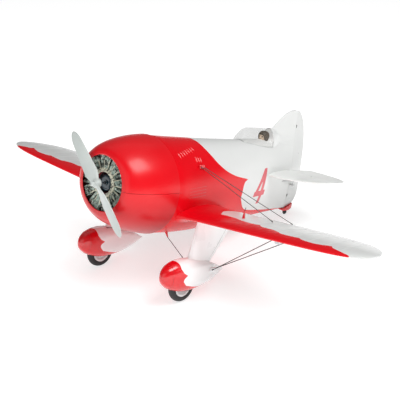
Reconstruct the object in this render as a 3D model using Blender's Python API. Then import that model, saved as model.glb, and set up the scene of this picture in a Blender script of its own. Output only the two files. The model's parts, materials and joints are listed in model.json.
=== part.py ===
"""Wire-braced low-wing racing monoplane: a small radio-controlled foam model with working controls.

Metres, +Z up, nose along -Y, +X to the pilot's left. Pieces are drawn in the airframe's own frame: X to the
left, Y aft from the cowl's mouth along the thrust line, Z up from the thrust line. An empty then stands the
airframe on its three wheels.
"""

import math

import bmesh
import bpy
from mathutils import Vector

# Gaps
GAP = 0.0003
PIN_GAP = 0.0002
SEAT_GAP = 0.0005
PLATE_GAP = 0.0012

# Body
MOUTH_RADIUS = 0.028
LIP_THICKNESS = 0.0015
NOSE_LENGTH = 0.055
KEEL_NOSE_LENGTH = 0.150
COWL_LENGTH = 0.058
SPLIT_HEIGHT = -0.002
TAPER_START = 0.066
BODY_HALF_WIDTH = 0.0508
BODY_TOP = 0.0455
BODY_DEPTH = 0.0622
TAIL_TOP = 0.0365
TAIL_DEPTH = 0.0537
TAIL_HALF_WIDTH = 0.0055
WIDTH_TAPER = 1.2
TOP_TAPER = 2.0
DEPTH_TAPER = 1.2
COWL_WALL = 0.004
COWL_STAND = 0.0015
BODY_WALL = 0.0035
BAY_LENGTH = 0.285

# Hinges of the control surfaces
KNUCKLE_RADIUS = 0.0011
KNUCKLE_FLAT = 0.0002
HINGE_PIN_RADIUS = 0.0004
HINGE_NOTCH = 0.004
EYE_WIDTH = 0.0016
PIN_GRIP = 0.0025
LUG_ROOT = 0.0012
SURFACE_SWING = math.radians(28)
EDGE_THICKNESS = 0.0008

# Fin and rudder
RUDDER_HINGE = 0.3165
FIN_TOP = 0.0718
FIN_TOP_LEAD = 0.307
FIN_RUN = 0.051
FIN_HEIGHT = 0.035
FIN_CURVE = 0.61
FIN_ROOT = 0.028
FIN_ROOT_THICKNESS = 0.0062
FIN_TIP_THICKNESS = 0.0034
RUDDER_REACH = 0.0268
RUDDER_WIDEST = -0.010
RUDDER_BOTTOM = -0.0535
RUDDER_HEEL = 0.021
RUDDER_HEEL_CUT = 0.011
RUDDER_HEEL_SLOPE = 0.28
RUDDER_EYE_HEIGHTS = (0.052, -0.036)

# Wing
WING_HALF_SPAN = 0.255
WING_LEAD = 0.0695
WING_CHORD = 0.0836
WING_HEIGHT = -0.0317
DIHEDRAL = 0.0706
INCIDENCE = 0.0170
EDGE_CUT = 0.0100
EDGE_BOW = 0.0066
TIP_LEAD_SETBACK = 0.0241
TIP_POWER = 10
WING_THICKNESS = 0.0090
WING_TIP_THICKNESS = 0.0055
WING_CAMBER = 0.018
FILLET_SWELL = 1.1
FILLET_LENGTH = 0.007
FILLET_FORWARD = 0.007

# Ailerons
AILERON_TIP_INSET = 0.027
AILERON_SPAN = 0.086
AILERON_OUTER = WING_HALF_SPAN - AILERON_TIP_INSET
AILERON_INNER = AILERON_OUTER - AILERON_SPAN
AILERON_CHORD = 0.021
AILERON_END_GAP = 0.0010
AILERON_EYE_INSET = 0.016
AILERON_SERVO_SIZE = (0.010, 0.020, 0.005)
AILERON_HORN_INSET = 0.006
AILERON_HORN_ARM = 0.008

# Tailplane and elevator
TAIL_HALF_SPAN = 0.079
TAIL_CENTRE = 0.306
TAIL_LEAD_REACH = 0.060
TAIL_TRAIL_REACH = 0.0355
TAIL_HEIGHT = -0.003
TAIL_THICKNESS = 0.0052
TAIL_TIP_THICKNESS = 0.0030
ELEVATOR_HINGE = 0.302
ELEVATOR_ROOT = 0.0115
ELEVATOR_ROOT_FLARE = 0.0065
ELEVATOR_EYE = 0.045
ELEVATOR_HORN_X = -0.019
ELEVATOR_HORN_ARM = 0.010

# Landing gear
WHEEL_X = 0.0622
WHEEL_AFT = 0.066787
WHEEL_HEIGHT = -0.09678
WHEEL_RADIUS = 0.0172
TYRE_WIDTH = 0.0082
TYRE_CROWN = 0.0014
HUB_RADIUS = 0.0118
HUB_WIDTH = 0.0068
AXLE_RADIUS = 0.00075
WHEEL_SIDES = 24
HUB_SIDES = 16
TAILWHEEL_SIDES = 14
WHEEL_WELL_GAP = 0.0012
PANT_NOSE = 0.0345
PANT_LENGTH = 0.097
PANT_HALF_WIDTH = 0.0124
PANT_HALF_HEIGHT = 0.0170
PANT_HEIGHT = -0.0854
PANT_DROOP = 0.004
PANT_FULLEST = 0.33
PANT_SQUARENESS = 2.5
LEG_TOP_LEAD = 0.0795
LEG_TOP_CHORD = 0.0600
LEG_FOOT_LEAD = 0.0715
LEG_FOOT_CHORD = 0.0345
LEG_THICKNESS = 0.0090
TAILWHEEL_BEHIND = 0.0071
TAILWHEEL_AFT = RUDDER_HINGE + TAILWHEEL_BEHIND
TAILWHEEL_DROP = 0.0059
TAILWHEEL_HEIGHT = RUDDER_BOTTOM - TAILWHEEL_DROP
TAILWHEEL_RADIUS = 0.0035
TAILWHEEL_WIDTH = 0.0024
TAILWHEEL_WELL_GAP = 0.0006
TAIL_FAIRING_AHEAD = 0.0075
TAIL_FAIRING_FRONT = RUDDER_HINGE - TAIL_FAIRING_AHEAD
TAIL_FAIRING_LENGTH = 0.0265
TAIL_FAIRING_DEPTH = 0.0044
TAIL_FAIRING_HALF_WIDTH = 0.0034
TAIL_AXLE_RADIUS = 0.0004

# Engine, motor and propeller
ENGINE_AFT = 0.006
ENGINE_PLATE = 0.002
ENGINE_HOLE = 0.0100
CRANKCASE_RADIUS = 0.0130
CRANKCASE_LENGTH = 0.0032
CYLINDERS = 9
CYLINDER_WIDTH = 0.0062
CYLINDER_LENGTH = 0.0024
SHAFT_RADIUS = 0.00075
BELL_FRONT = 0.005
BELL_RADIUS = 0.0087
BELL_LENGTH = 0.016
BELL_WALL = 0.0014
STATOR_RADIUS = 0.0066
MOTOR_MOUNT_AFT = 0.0260
MOTOR_MOUNT_THICKNESS = 0.0020
PROP_AFT = -0.0070
PROP_RADIUS = 0.060
PROP_HUB_RADIUS = 0.0046
PROP_HUB_LENGTH = 0.0070
PROP_CHORD = 0.0138
PROP_SHOULDER = 0.25
PROP_TIP_ROUND = 0.16
PROP_REST_ANGLE = math.radians(44.4)
PROP_NUT_LENGTH = 0.0034
PROP_NUT_RADIUS = 0.0028

# Cabin
PILOT_AFT = 0.2545
CANOPY_AHEAD = 0.0495
CANOPY_FRONT = PILOT_AFT - CANOPY_AHEAD
CANOPY_LENGTH = 0.071
CANOPY_TOP = 0.0512
CANOPY_HALF_WIDTH = 0.0112
CANOPY_SHOULDER = 0.002
CANOPY_WALL = 0.0008
CANOPY_PEAK = 0.22
CANOPY_FALL = 0.30
COCKPIT_AHEAD = 0.0285
COCKPIT_FRONT = PILOT_AFT - COCKPIT_AHEAD
COCKPIT_LENGTH = 0.040
COCKPIT_HALF_WIDTH = 0.0072
COCKPIT_FLOOR = 0.0205
FLOOR_THICKNESS = 0.0015
FLOOR_MARGIN = 0.003
PILOT_HEAD_HEIGHT = 0.0404
PILOT_HEAD_RADIUS = 0.0060

# Equipment
TRAY_FRONT = 0.030
TRAY_LENGTH = 0.160
TRAY_HEIGHT = -0.024
TRAY_THICKNESS = 0.002
BATTERY_SIZE = (0.020, 0.046, 0.012)
BATTERY_AFT = 0.060
BOARD_SIZE = (0.028, 0.040, 0.0016)
BOARD_AFT = 0.160
SERVO_SIZE = (0.007, 0.024, 0.005)
SERVO_X = 0.008
SLIDER_SIZE = (0.005, 0.005, 0.0028)
ROD_RADIUS = 0.0005
ROD_CHANNEL = 0.0014
HORN_THICKNESS = 0.0010
HORN_HOLE = 0.0016
HORN_RIM = 0.0010
HORN_ROOT_WIDTH = 0.0024
RUDDER_HORN_ARM = 0.0105
RUDDER_HORN_ROOT = (0.003, 0.007)
HORN_ROOT_AFT = 0.004
RUDDER_ROD_HEIGHT = -0.0155
RUDDER_ROD_DROP = 0.0085

# Bracing
WIRE_RADIUS = 0.00035
WIRE_STANDOFF = 0.0007
UPPER_ANCHORS = ((0.0968, 0.0208), (0.1025, 0.0195))
UPPER_FEET = ((AILERON_INNER - 0.0178, 0.1215), (AILERON_INNER - 0.0100, 0.1460))
LOWER_PANT_ANCHORS = ((0.100, -0.0830), (0.1065, -0.0815))
LOWER_WING_ANCHORS = ((AILERON_INNER + 0.0038, 0.1129), (AILERON_INNER + 0.0213, 0.1131))
TAB_THICKNESS = 0.0010
TAB_MARGIN = 0.0014
POST_X = 0.1007
POST_AFT = 0.1034
POST_HEIGHT = 0.008
POST_CHORD = 0.005
POST_ROD = 0.005
BELLY_POST_X = 0.018
BELLY_POST_AFT = 0.083
BELLY_POST_HEIGHT = 0.0060
BELLY_WIRE_FOOT = (-0.0045, 0.0685)

# Joiner between the wing panels
SPAR_AFT = 0.094
SPAR_REACH = 0.080
SPAR_RADIUS = 0.0012

RED = (0.72, 0.012, 0.014)
WHITE = (0.82, 0.83, 0.82)
GREY = (0.50, 0.53, 0.51)
DARK = (0.03, 0.03, 0.032)
STEEL = (0.45, 0.45, 0.46)

HULL_SIDES = 32
PIN_SIDES = 8


def clear_scene():
    for thing in list(bpy.data.objects):
        bpy.data.objects.remove(thing)


def finish(name, colour, roughness, metallic=0.0, alpha=1.0):
    """A Principled material in one colour."""
    material = bpy.data.materials.new(name)
    material.use_nodes = True
    shader = material.node_tree.nodes["Principled BSDF"]
    shader.inputs["Base Color"].default_value = (*colour, 1.0)
    shader.inputs["Roughness"].default_value = roughness
    shader.inputs["Metallic"].default_value = metallic
    shader.inputs["Alpha"].default_value = alpha
    return material


# Mesh building


class Shape:
    """Points and faces gathered from one or more closed solids, in the airframe's frame."""

    def __init__(self):
        self.points = []
        self.faces = []

    def add(self, points, faces):
        start = len(self.points)
        self.points += [Vector(p) for p in points]
        self.faces += [tuple(start + i for i in face) for face in faces]
        return self

    def loft(self, loops):
        """Closed skin through loops of one even point count, each running out along one side and back."""
        count = len(loops[0])
        points = [p for loop in loops for p in loop]
        faces = []
        for row in range(len(loops) - 1):
            for i in range(count):
                j = (i + 1) % count
                faces.append((row * count + i, row * count + j, (row + 1) * count + j, (row + 1) * count + i))
        last = (len(loops) - 1) * count
        for i in range(count // 2 - 1):
            cap = (i, i + 1, count - 2 - i, count - 1 - i)
            faces.append(cap)
            faces.append(tuple(last + k for k in reversed(cap)))
        return self.add(points, faces)

    def turned(self, profile, sides, centre, axis, phase=0.0, ring=False):
        """Profile of (along, radius) pairs turned about an axis. A ring's profile closes on itself."""
        axis = Vector(axis).normalized()
        across = axis.orthogonal().normalized()
        if abs(axis.x) > 0.9:
            across = (Vector((0, 1, 0)) - axis * axis.y).normalized()
        upward = axis.cross(across)
        loops = []
        for along, radius in profile:
            turn = [phase + 2 * math.pi * k / sides for k in range(sides)]
            spokes = [across * math.cos(t) + upward * math.sin(t) for t in turn]
            loops.append([Vector(centre) + axis * along + spoke * radius for spoke in spokes])
        return self.closed_ring(loops) if ring else self.loft(loops)

    def closed_ring(self, loops):
        """Skin through loops, the last joined to the first."""
        sides = len(loops[0])
        points = [p for loop in loops for p in loop]
        faces = []
        for row in range(len(loops)):
            here = row * sides
            after = (row + 1) % len(loops) * sides
            for i in range(sides):
                j = (i + 1) % sides
                faces.append((here + i, here + j, after + j, after + i))
        return self.add(points, faces)

    def tube(self, path, radius, sides=PIN_SIDES):
        """Round bar along straight runs, with mitred bends."""
        path = [Vector(p) for p in path]
        runs = [(b - a).normalized() for a, b in zip(path, path[1:])]
        across = runs[0].orthogonal().normalized()
        loops = []
        for i, point in enumerate(path):
            before = runs[max(i - 1, 0)]
            after = runs[min(i, len(runs) - 1)]
            if i:
                across = (across - before * across.dot(before)).normalized()
            other = before.cross(across)
            mitre = before + after
            loop = []
            for k in range(sides):
                turn = 2 * math.pi * k / sides
                corner = point + (across * math.cos(turn) + other * math.sin(turn)) * radius
                loop.append(corner - before * ((corner - point).dot(mitre) / before.dot(mitre)))
            loops.append(loop)
        return self.loft(loops)

    def box(self, low, high):
        (x0, y0, z0), (x1, y1, z1) = low, high
        return self.loft([
            [(x, y0, z0), (x, y1, z0), (x, y1, z1), (x, y0, z1)] for x in (x0, x1)
        ])

    def mirrored(self):
        """The same solids on the other side of the airframe."""
        return Shape().add([(-p.x, p.y, p.z) for p in self.points], [tuple(reversed(f)) for f in self.faces])


def centred_box(centre, size):
    low = [c - s / 2 for c, s in zip(centre, size)]
    high = [c + s / 2 for c, s in zip(centre, size)]
    return Shape().box(low, high)


def make(name, shape, material, origin=(0, 0, 0)):
    """An object of the airframe. Its origin is the given place, which a moving piece has on its axis."""
    mesh = bpy.data.meshes.new(name)
    origin = Vector(origin)
    mesh.from_pydata([p - origin for p in shape.points], [], shape.faces)
    drawn = bmesh.new()
    drawn.from_mesh(mesh)
    bmesh.ops.recalc_face_normals(drawn, faces=drawn.faces)
    bmesh.ops.triangulate(drawn, faces=drawn.faces)
    drawn.to_mesh(mesh)
    drawn.free()
    mesh.shade_smooth()
    mesh.set_sharp_from_angle(angle=math.radians(38))
    thing = bpy.data.objects.new(name, mesh)
    bpy.context.scene.collection.objects.link(thing)
    thing.parent = AIRFRAME
    thing.location = origin
    if material:
        mesh.materials.append(material)
    return thing


def boolean(target, shape, operation="DIFFERENCE"):
    """Cuts a shape from an object, or joins it on."""
    tool = make(target.name + "_tool", shape, None)
    tool.hide_render = True
    tool.display_type = "WIRE"
    step = target.modifiers.new(operation.lower(), "BOOLEAN")
    step.operation = operation
    step.solver = "EXACT"
    step.object = tool


# Body form


def rise(aft, length):
    """Quarter-ellipse growth from 0 at the mouth to 1 at a length."""
    share = min(max(aft, 0.0) / length, 1.0)
    return math.sqrt(1 - (1 - share) ** 2)


def taper(aft):
    return min(max((aft - TAPER_START) / (tail_post() - TAPER_START), 0.0), 1.0)


def tail_post():
    return RUDDER_HINGE - KNUCKLE_RADIUS - GAP


def body_section(aft):
    """Half width, middle height and half height of the body."""
    lip = MOUTH_RADIUS + LIP_THICKNESS
    share = taper(aft)
    full_width = TAIL_HALF_WIDTH + (BODY_HALF_WIDTH - TAIL_HALF_WIDTH) * (1 - share**WIDTH_TAPER)
    full_top = TAIL_TOP + (BODY_TOP - TAIL_TOP) * (1 - share) ** TOP_TAPER
    full_depth = BODY_DEPTH - (BODY_DEPTH - TAIL_DEPTH) * share**DEPTH_TAPER
    width = lip + (full_width - lip) * rise(aft, NOSE_LENGTH) if aft < NOSE_LENGTH else full_width
    top = lip + (full_top - lip) * rise(aft, NOSE_LENGTH) if aft < NOSE_LENGTH else full_top
    depth = lip + (full_depth - lip) * rise(aft, KEEL_NOSE_LENGTH) if aft < KEEL_NOSE_LENGTH else full_depth
    return width, (top - depth) / 2, (top + depth) / 2


def body_point(aft, turn, inset=0.0):
    width, middle, height = body_section(aft)
    return Vector(((width - inset) * math.cos(turn), aft, middle + (height - inset) * math.sin(turn)))


def body_side(aft, height, inset=0.0):
    """Half width of the body at a height."""
    width, middle, half = body_section(aft)
    share = (height - middle) / (half - inset)
    return (width - inset) * math.sqrt(max(1 - share * share, 0.0))


def body_roof(aft, x, inset=0.0):
    """Height of the body's upper skin at a distance from the middle."""
    width, middle, half = body_section(aft)
    share = x / (width - inset)
    return middle + (half - inset) * math.sqrt(max(1 - share * share, 0.0))


def body_floor(aft, x, inset=0.0):
    middle = body_section(aft)[1]
    return 2 * middle - body_roof(aft, x, inset)


def cowl_half(upper):
    """Half of the cowl, split level, open at the mouth and at the back."""
    end = COWL_LENGTH - GAP / 2
    stations = [end * s for s in (0.0, 0.010, 0.04, 0.10, 0.20, 0.34, 0.52, 0.74, 1.0)]
    steps = 14
    edge = SPLIT_HEIGHT + (GAP / 2 if upper else -GAP / 2)
    loops = []
    for aft in stations:
        width, middle, height = body_section(aft)
        inset = min(width - MOUTH_RADIUS, COWL_WALL)
        loop = []
        for depth in (-COWL_STAND * aft / end, inset):
            start = math.asin((edge - middle) / (height - depth))
            finish_turn = math.pi - start
            if not upper:
                start, finish_turn = finish_turn, start + 2 * math.pi
            arc = [start + (finish_turn - start) * k / steps for k in range(steps + 1)]
            side = [body_point(aft, turn, depth) for turn in arc]
            loop += side if depth < inset else side[::-1]
        loops.append(loop)
    return Shape().loft(loops)


def cowl_level_disc(front, back, gap, hole):
    """Plate across the inside of the cowl, with a round hole on the thrust line."""
    loops = []
    for aft, inner in ((front, False), (back, False), (back, True), (front, True)):
        loop = []
        for k in range(HULL_SIDES):
            turn = 2 * math.pi * k / HULL_SIDES
            place = body_point(aft, turn, COWL_WALL + gap)
            if inner:
                place = Vector((hole * math.cos(turn), aft, hole * math.sin(turn)))
            loop.append(place)
        loops.append(loop)
    return Shape().closed_ring(loops)


def fuselage():
    """Hollow shell from the cowl seam to the rudder post, open in front."""
    start = COWL_LENGTH + GAP / 2
    inner = [start + (BAY_LENGTH - start) * s for s in (0.0, 0.14, 0.32, 0.52, 0.75, 1.0)]
    loops = [body_loop(aft) for aft in reversed(body_stations())]
    loops += [body_loop(aft, BODY_WALL) for aft in inner]
    return Shape().loft(loops)


def body_stations():
    start = COWL_LENGTH + GAP / 2
    shares = (0.0, 0.08, 0.18, 0.30, 0.43, 0.56, 0.68, 0.80, 0.90, 0.96, 1.0)
    return [start + (tail_post() - start) * s for s in shares]


def body_loop(aft, inset=0.0):
    return [body_point(aft, 2 * math.pi * (k + 0.5) / HULL_SIDES, inset) for k in range(HULL_SIDES)]


def body_block(grow):
    """Solid with the body's outline, grown by a gap."""
    stations = [COWL_LENGTH - COWL_WALL * 2] + body_stations()
    return Shape().loft([body_loop(aft, -grow) for aft in stations])


def fin_half_thickness(height):
    share = min(max((height - FIN_ROOT) / (FIN_TOP - FIN_ROOT), 0.0), 1.0)
    return (FIN_ROOT_THICKNESS + (FIN_TIP_THICKNESS - FIN_ROOT_THICKNESS) * share) / 2


def fin_lead(height):
    return FIN_TOP_LEAD - FIN_RUN * (max(FIN_TOP - height, 0.0) / FIN_HEIGHT) ** FIN_CURVE


def fin(grow=0.0):
    """Blade over the tail, from inside the body up. Grown, it is the slot in the canopy's back."""
    loops = []
    for share in (0.0, 0.25, 0.48, 0.68, 0.84, 0.94, 0.99):
        height = FIN_ROOT + (FIN_TOP - FIN_ROOT) * share
        lead = fin_lead(height) - grow
        chord = tail_post() - lead
        half = fin_half_thickness(height) + grow
        side = [(1.0, half), (0.6, half), (0.3, half * 0.86), (0.1, half * 0.5), (0.0, half * 0.12)]
        left = [Vector((t, lead + chord * c, height)) for c, t in side]
        right = [Vector((-t, lead + chord * c, height)) for c, t in reversed(side)]
        loops.append(left + right)
    return Shape().loft(loops)


# Control surfaces


def surface_loop(hinge, aft, across, half, reach, trailing=EDGE_THICKNESS / 2):
    """Section of a control surface: a knuckle round the hinge, bevelled corners and a thin trailing edge."""
    half = max(half, KNUCKLE_RADIUS)
    corner = max((half * math.sin(SURFACE_SWING) - KNUCKLE_RADIUS) / math.cos(SURFACE_SWING), 0.0)
    corner += KNUCKLE_RADIUS * 0.3
    side = [(reach, trailing), (corner + (reach - corner) * 0.4, half * 0.72), (corner, half)]
    side.append((-KNUCKLE_RADIUS * 0.5, KNUCKLE_RADIUS * 0.866))
    near = [hinge + aft * p + across * q for p, q in side]
    far = [hinge + aft * p - across * q for p, q in reversed(side)]
    front = hinge - aft * KNUCKLE_RADIUS
    flat = across * KNUCKLE_FLAT / 2
    return near + [front + flat, front - flat] + far


def hinge_notches(places, axis, aft):
    """Clear room in a control surface round the lugs of its hinge."""
    tool = Shape()
    half = HINGE_NOTCH / 2
    reach = KNUCKLE_RADIUS + SEAT_GAP
    across = axis.cross(aft)
    deep = reach * 4
    corners = ((-reach * 2, -deep), (reach, -deep), (reach, deep), (-reach * 2, deep))
    for place in places:
        tool.loft([[place + axis * s + aft * p + across * q for p, q in corners] for s in (-half, half)])
    return tool


def hinge_lug(place, axis, aft):
    """Lug with a rounded end, reaching back from the fixed piece to the hinge axis."""
    across = axis.cross(aft)
    size = KNUCKLE_RADIUS
    root = size + GAP + LUG_ROOT
    upper = [(-root, size), (0.0, size), (size * 0.7, size * 0.7), (size, size * 0.3)]
    outline = upper + [(p, -q) for p, q in reversed(upper)]
    ends = [place + axis * s for s in (-EYE_WIDTH / 2, EYE_WIDTH / 2)]
    return Shape().loft([[end + aft * p + across * q for p, q in outline] for end in ends])


def hinge_rod(places, axis, radius, grip):
    """Straight rod through the lugs of a hinge."""
    return Shape().tube([places[0] - axis * grip, places[-1] + axis * grip], radius)


def hang(surface, fixed, places, axis, aft):
    """Hinges a control surface on the lugs of a fixed piece."""
    bore = HINGE_PIN_RADIUS + PIN_GAP
    grip = HINGE_NOTCH / 2 + PIN_GRIP + GAP
    boolean(surface, hinge_notches(places, axis, aft))
    boolean(surface, hinge_rod(places, axis, bore, grip))
    for place in places:
        boolean(fixed, hinge_lug(place, axis, aft), "UNION")
    boolean(fixed, hinge_rod(places, axis, bore, grip))


def rudder_trail(height):
    """Distance from the hinge to the trailing edge."""
    above = min(max((height - RUDDER_WIDEST) / (FIN_TOP - RUDDER_WIDEST), 0.0), 1.0)
    below = min(max((RUDDER_BOTTOM + RUDDER_HEEL - height) / RUDDER_HEEL, 0.0), 1.0)
    reach = RUDDER_REACH * math.sqrt(1 - above**2.4)
    return reach - RUDDER_HEEL_CUT * (1 - math.sqrt(1 - below * below))


def rudder():
    low = RUDDER_BOTTOM
    high = FIN_TOP
    loops = []
    for share in (0.0, 0.05, 0.13, 0.26, 0.40, 0.54, 0.66, 0.74, 0.82, 0.90, 0.95, 0.985):
        height = low + (high - low) * share
        blade = fin_half_thickness(height) if height > 0 else KNUCKLE_RADIUS
        half = max(body_side(tail_post(), height), blade)
        hinge = Vector((0, RUDDER_HINGE, height))
        loop = surface_loop(hinge, Vector((0, 1, 0)), Vector((1, 0, 0)), half, rudder_trail(height))
        slope = RUDDER_HEEL_SLOPE * max(1 - (height - low) / RUDDER_HEEL, 0.0)
        for place in loop:
            place.z += slope * max(place.y - RUDDER_HINGE, 0.0)
        loops.append(loop)
    return Shape().loft(loops)


# Wing


def wing_share(x):
    return min(abs(x) / WING_HALF_SPAN, 1.0)


def tip_round(x):
    return 1 - math.sqrt(1 - wing_share(x) ** TIP_POWER)


def wing_root_x():
    """Where the wing meets the body, at the spar."""
    return body_side(SPAR_AFT, WING_HEIGHT)


def fillet(x):
    """1 at the body, fading outwards."""
    return math.exp(-max(abs(x) - wing_root_x(), 0.0) / FILLET_LENGTH)


def straight_trail(x):
    share = wing_share(x)
    return WING_LEAD + WING_CHORD - EDGE_CUT * share + EDGE_BOW * share * share


def wing_lead(x):
    return WING_LEAD + TIP_LEAD_SETBACK * tip_round(x) - FILLET_FORWARD * fillet(x)


def wing_trail(x):
    tip_gap = straight_trail(WING_HALF_SPAN) - (WING_LEAD + TIP_LEAD_SETBACK)
    return straight_trail(x) - tip_gap * tip_round(x)


def wing_middle(x, aft):
    return WING_HEIGHT + DIHEDRAL * abs(x) - INCIDENCE * (aft - WING_LEAD)


def wing_half_thickness(x, aft):
    lead = wing_lead(x)
    chord = wing_trail(x) - lead
    c = min(max((aft - lead) / chord, 0.0), 1.0)
    form = 0.2969 * math.sqrt(c) - 0.126 * c - 0.3516 * c**2 + 0.2843 * c**3 - 0.1036 * c**4
    share = wing_share(x)
    full = WING_THICKNESS + (WING_TIP_THICKNESS - WING_THICKNESS) * share
    full *= (chord / (straight_trail(x) - WING_LEAD)) ** 0.7
    full *= 1 + FILLET_SWELL * fillet(x)
    return 5 * form * full + EDGE_THICKNESS / 2


def wing_camber(x, aft):
    lead = wing_lead(x)
    chord = wing_trail(x) - lead
    c = min(max((aft - lead) / chord, 0.0), 1.0)
    return WING_CAMBER * chord * 4 * c * (1 - c)


def wing_top(x, aft):
    return wing_middle(x, aft) + wing_camber(x, aft) + wing_half_thickness(x, aft)


def wing_under(x, aft):
    return wing_middle(x, aft) + wing_camber(x, aft) - wing_half_thickness(x, aft)


CHORD_POINTS = (1.0, 0.88, 0.74, 0.58, 0.42, 0.28, 0.16, 0.075, 0.025, 0.004)


def wing_loop(x):
    lead = wing_lead(x)
    chord = wing_trail(x) - lead
    afts = [lead + chord * c for c in CHORD_POINTS]
    over = [Vector((x, aft, wing_top(x, aft))) for aft in afts]
    under = [Vector((x, aft, wing_under(x, aft))) for aft in reversed(afts)]
    return over + under


def wing_root_loop():
    """Root section, just inside the body's side."""
    loop = []
    for place in wing_loop(wing_root_x()):
        x = body_side(place.y, place.z) - BODY_WALL
        loop.append(Vector((x, place.y, place.z)))
    return loop


def wing():
    root = wing_root_x()
    inner = [root + FILLET_LENGTH * s for s in (1.1, 1.9, 3.0)]
    shares = (0.32, 0.42, 0.55, 0.70, 0.82, 0.90, 0.945, 0.975, 0.991, 0.9985)
    outer = [WING_HALF_SPAN * s for s in shares]
    return Shape().loft([wing_root_loop()] + [wing_loop(x) for x in inner + outer])


def aileron_hinge(x):
    aft = straight_trail(WING_HALF_SPAN / 2) - AILERON_CHORD
    return Vector((x, aft, wing_middle(x, aft) + wing_camber(x, aft)))


def aileron_axis():
    return (aileron_hinge(AILERON_OUTER) - aileron_hinge(AILERON_INNER)).normalized()


def aileron_shape():
    loops = []
    steps = 6
    for k in range(steps + 1):
        x = AILERON_INNER + (AILERON_OUTER - AILERON_INNER) * k / steps
        hinge = aileron_line(x)
        half = wing_half_thickness(x, hinge.y)
        drop = wing_middle(x, wing_trail(x)) - hinge.z
        reach = wing_trail(x) - hinge.y
        loop = surface_loop(hinge, Vector((0, 1, 0)), Vector((0, 0, 1)), half, reach)
        for place in loop:
            place.z += drop * max(place.y - hinge.y, 0.0) / reach
        loops.append(loop)
    return Shape().loft(loops)


def aileron_bay():
    low = aileron_hinge(AILERON_INNER)
    high = aileron_hinge(AILERON_OUTER)
    front = low.y - KNUCKLE_RADIUS - GAP
    back = low.y + AILERON_CHORD * 3
    deep = WING_THICKNESS * 3
    inner = AILERON_INNER - AILERON_END_GAP
    outer = AILERON_OUTER + AILERON_END_GAP
    return Shape().box((inner, front, low.z - deep), (outer, back, high.z + deep))


def aileron_servo_place():
    """Middle of the servo in the wing's underside, in line with the horn."""
    x = aileron_horn_x()
    aft = aileron_hinge(x).y - AILERON_SERVO_SIZE[1] * 1.3
    return Vector((x, aft, wing_under(x, aft) + AILERON_SERVO_SIZE[2] / 2 + GAP))


def aileron_horn_x():
    return AILERON_INNER + AILERON_HORN_INSET


def aileron_line(x):
    """Point of the straight hinge line."""
    axis = aileron_axis()
    start = aileron_hinge(AILERON_INNER)
    return start + axis * ((x - start.x) / axis.x)


def aileron_rod():
    """Path of the rod under the wing, from its servo to the horn and through it."""
    beside = Vector((HORN_THICKNESS * 1.5, 0, 0))
    back = aileron_line(aileron_horn_x()) - Vector((0, 0, AILERON_HORN_ARM))
    front = Vector((back.x, aileron_servo_place().y, back.z))
    return [front - beside, back - beside, back + beside]


def spar_path():
    return [Vector((x, SPAR_AFT, wing_middle(x, SPAR_AFT))) for x in (-SPAR_REACH, 0.0, SPAR_REACH)]


# Tailplane


def tail_lead(x):
    share = min(abs(x) / TAIL_HALF_SPAN, 1.0)
    return TAIL_CENTRE - TAIL_LEAD_REACH * math.sqrt(1 - share * share)


def tail_trail(x):
    share = min(abs(x) / TAIL_HALF_SPAN, 1.0)
    return TAIL_CENTRE + TAIL_TRAIL_REACH * (1 - share**4) ** 0.25


def tail_half_thickness(x):
    share = min(abs(x) / TAIL_HALF_SPAN, 1.0)
    return (TAIL_THICKNESS + (TAIL_TIP_THICKNESS - TAIL_THICKNESS) * share) / 2


def elevator_half(x):
    """Half thickness of the tailplane at the hinge."""
    return tail_half_thickness(x) * 0.72


def tailplane(grow=0.0):
    """One piece from tip to tip. Grown, it is the slot that it sits in."""
    wall = ELEVATOR_HINGE - KNUCKLE_RADIUS - GAP
    loops = []
    shares = (-0.985, -0.95, -0.87, -0.74, -0.55, -0.3, 0.0, 0.3, 0.55, 0.74, 0.87, 0.95, 0.985)
    for share in shares:
        x = TAIL_HALF_SPAN * share
        lead = tail_lead(x) - grow
        chord = wall + grow - lead
        full = tail_half_thickness(x) + grow
        back = elevator_half(x) + grow
        side = [(1.0, back), (0.55, full * 0.95), (0.28, full), (0.08, full * 0.66), (0.0, full * 0.15)]
        over = [Vector((x, lead + chord * c, TAIL_HEIGHT + t)) for c, t in side]
        under = [Vector((x, lead + chord * c, TAIL_HEIGHT - t)) for c, t in reversed(side)]
        loops.append(over + under)
    return Shape().loft(loops)


def elevator():
    loops = []
    tip = TAIL_HALF_SPAN * 0.992
    shares = (0.0, 0.2, 0.45, 0.68, 0.85, 0.95, 1.0)
    for share in shares:
        x = ELEVATOR_ROOT + (tip - ELEVATOR_ROOT) * share
        hinge = Vector((x, ELEVATOR_HINGE, TAIL_HEIGHT))
        reach = tail_trail(x) - ELEVATOR_HINGE
        loop = surface_loop(hinge, Vector((0, 1, 0)), Vector((0, 0, 1)), elevator_half(x), reach)
        if share == 0.0:
            for place in loop:
                place.x += ELEVATOR_ROOT_FLARE * max(place.y - ELEVATOR_HINGE, 0.0) / reach
        loops.append(loop)
    return Shape().loft(loops)


# Landing gear


def pant_section(aft):
    """Middle height, half height and half width of a wheel pant."""
    share = min(max((aft - PANT_NOSE) / PANT_LENGTH, 0.0), 1.0)
    if share < PANT_FULLEST:
        swell = math.sqrt(1 - (1 - share / PANT_FULLEST) ** 2)
    else:
        swell = 1 - ((share - PANT_FULLEST) / (1 - PANT_FULLEST)) ** 1.9
    swell = max(swell, 0.04)
    middle = PANT_HEIGHT - PANT_DROOP * (share - PANT_FULLEST)
    return middle, PANT_HALF_HEIGHT * swell, PANT_HALF_WIDTH * swell


def pant_side(aft, height):
    middle, half, width = pant_section(aft)
    share = min(abs(height - middle) / half, 1.0)
    return width * (1 - share**PANT_SQUARENESS) ** (1 / PANT_SQUARENESS)


def pant_roof(aft, x):
    middle, half, width = pant_section(aft)
    share = min(abs(x) / width, 1.0)
    return middle + half * (1 - share**PANT_SQUARENESS) ** (1 / PANT_SQUARENESS)


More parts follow.
